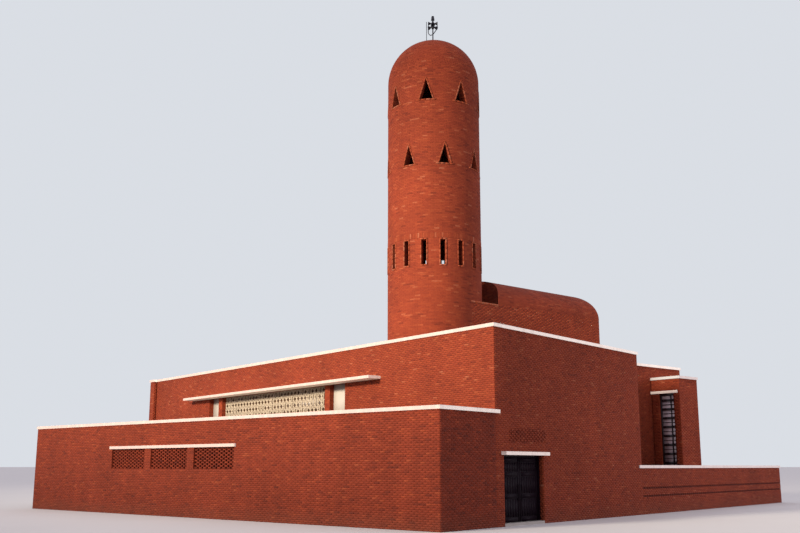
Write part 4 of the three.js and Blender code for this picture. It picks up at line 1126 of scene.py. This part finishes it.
RELIEF_START = 4.08
RELIEF_BASE = 3.0
RELIEF_COLUMNS = 21
RELIEF_ROWS = 6
RELIEF_PROUD = 0.026
RELIEF_HEADER = 0.112
# The raised headers are laid darker: painted shade of the relief.
RELIEF_PAINTED_SHADE = 0.12


def relief_band():
    """A plain chequer of raised headers over the door."""
    face = flat_wall(CORNER, NORTH, EAST)
    rng = np.random.default_rng(91)
    boxes = Boxes()
    for row in range(RELIEF_ROWS):
        z = RELIEF_BASE + row * COURSE + JOINT / 2
        for column in range(row % 2, RELIEF_COLUMNS, 2):
            s = RELIEF_START + column * PITCH / 2
            # Darker headers: painted shade.
            boxes.block(face, s, s + RELIEF_HEADER, z, z + COURSE - JOINT, RELIEF_PROUD, -BACK,
                        brick_tones(rng, 1)[0] - RELIEF_PAINTED_SHADE)
    boxes.make("relief_headers", BRICK)


# Edges of the white masonry and the roof slabs

SOFT_EDGE = 0.008


def soften_edges():
    for name in WHITES + SHADE_PAINTED_WHITES + OUTER_WHITES + ("lower_roof", "roof"):
        bevel = NODES[name].modifiers.new("soft_edges", "BEVEL")
        bevel.width = SOFT_EDGE
        bevel.segments = 2
        bevel.limit_method = "ANGLE"


# Stage, light and camera

FLOOR_REACH = 4000.0
FLOOR_SIDES = 128
FLOOR_TONES = ((0.52, 0.52, 0.51), (0.56, 0.56, 0.55))
BACKDROP_SIDE = (-0.65, 0.76, 0.0)
BACKDROP_EDGES = (0.25, 0.85)
BACKDROP = (0.70, 0.73, 0.78)
SURROUNDINGS = (0.907, 0.827, 0.933)

# A low warm key on the long front, and a weak fill on the right end
LAMPS = (
    {"name": "soft_key", "strength": 7.65, "colour": (1.0, 0.87, 0.70), "size": 6.0, "distance": 70.0,
     "aim": (-12.0, 4.0, 10.0), "side": (-0.05, -0.999, 0.0), "height": 14.5, "reach": (70.0, 15.0)},
    {"name": "right_fill", "strength": 1.87, "colour": (1.0, 0.90, 0.94), "size": 14.0, "distance": 70.0,
     "aim": (0.0, 26.0, 5.0), "side": (0.90, 0.44, 0.0), "height": 8.0, "reach": (24.0, 14.0)},
)

CAMERA_PLACE = (18.64, -23.82, 2.09)
CAMERA_TURN = math.radians(40.52)
CAMERA_PITCH = math.radians(10.56)
FOCAL_PIXELS = 910.0
IMAGE_WIDTH = 800.0
SENSOR = 36.0
CAMERA_SHIFT = 0.038
CAMERA_RANGE = 9000.0


def stage():
    graph = new_material("pale_floor")
    patches = graph.noise(graph.place(), 0.2, 2.0)
    material = graph.finish(graph.mix(patches, *FLOOR_TONES), 0.9)
    mesh = bpy.data.meshes.new("studio_floor")
    angles = np.linspace(0, 2 * math.pi, FLOOR_SIDES, endpoint=False)
    rim = [(FLOOR_REACH * math.cos(angle), FLOOR_REACH * math.sin(angle), 0.0) for angle in angles]
    mesh.from_pydata(rim, [], [tuple(range(FLOOR_SIDES))])
    mesh.materials.append(material)
    floor = bpy.data.objects.new("studio_floor", mesh)
    bpy.context.scene.collection.objects.link(floor)


def soft_world():
    """Even light with a cooler, duller backdrop behind the building's far corner."""
    world = bpy.data.worlds.new("soft_studio")
    bpy.context.scene.world = world
    graph = Graph(world, "ShaderNodeOutputWorld", "ShaderNodeBackground")
    direction = graph.add("ShaderNodeTexCoord").outputs["Generated"]
    values = {0: direction, 1: BACKDROP_SIDE}
    towards = graph.add("ShaderNodeVectorMath", values, operation="DOT_PRODUCT").outputs["Value"]
    values = {0: towards, 1: BACKDROP_EDGES[0], 2: BACKDROP_EDGES[1]}
    share = graph.add("ShaderNodeMapRange", values, interpolation_type="SMOOTHSTEP").outputs[0]
    graph.feed(graph.shader.inputs["Color"], graph.mix(share, SURROUNDINGS, BACKDROP))


def soft_lamp(values):
    """A soft spot that fades out at its reach from its aim: one to the sides, one up and down."""
    distance, reach = values["distance"], values["reach"]
    height = math.radians(values["height"])
    lamp = bpy.data.lights.new(values["name"], "SPOT")
    lamp.energy = values["strength"] * 4 * math.pi * distance ** 2
    lamp.color = values["colour"]
    lamp.shadow_soft_size = values["size"]
    lamp.spot_size = 2 * math.atan(reach[1] / distance)
    lamp.spot_blend = 1.0
    towards = Vector(values["side"]).normalized() * math.cos(height) + Vector((0, 0, math.sin(height)))
    holder = bpy.data.objects.new(values["name"], lamp)
    holder.location = Vector(spot(*values["aim"])) + towards * distance
    holder.rotation_mode = "QUATERNION"
    holder.rotation_quaternion = towards.to_track_quat("Z", "Y")
    holder.scale = (reach[0] / reach[1], 1.0, 1.0)
    holder.visible_camera = False
    bpy.context.scene.collection.objects.link(holder)


def camera():
    data = bpy.data.cameras.new("camera")
    data.sensor_width = SENSOR
    data.lens = FOCAL_PIXELS / IMAGE_WIDTH * SENSOR
    data.shift_y = CAMERA_SHIFT
    data.clip_end = CAMERA_RANGE
    view = bpy.data.objects.new("camera", data)
    view.location = Vector(spot(*CAMERA_PLACE))
    view.rotation_euler = (math.pi / 2 + CAMERA_PITCH, 0.0, CAMERA_TURN)
    bpy.context.scene.collection.objects.link(view)
    bpy.context.scene.camera = view


camera()
dress_nodes()
lay_front_block()
lay_entrance_face()
lay_low_wall()
lay_hall()
lay_bay()
lay_vault()
lay_tower()
lay_dome()
frame_openings()
brick_screens()
white_lattice("front", "window_screen", hall_face(0, 0, ALONG_HALL, -INTO_HALL), 0.0)
white_lattice("back", "back_screen", hall_face(0, HALL_WIDTH, ALONG_HALL, INTO_HALL), BACK_SHIFT)
door_panels()
bay_glazing()
relief_band()
soften_edges()
stage()
soft_world()
for lamp_values in LAMPS:
    soft_lamp(lamp_values)
bpy.context.scene.view_settings.view_transform = "Standard"
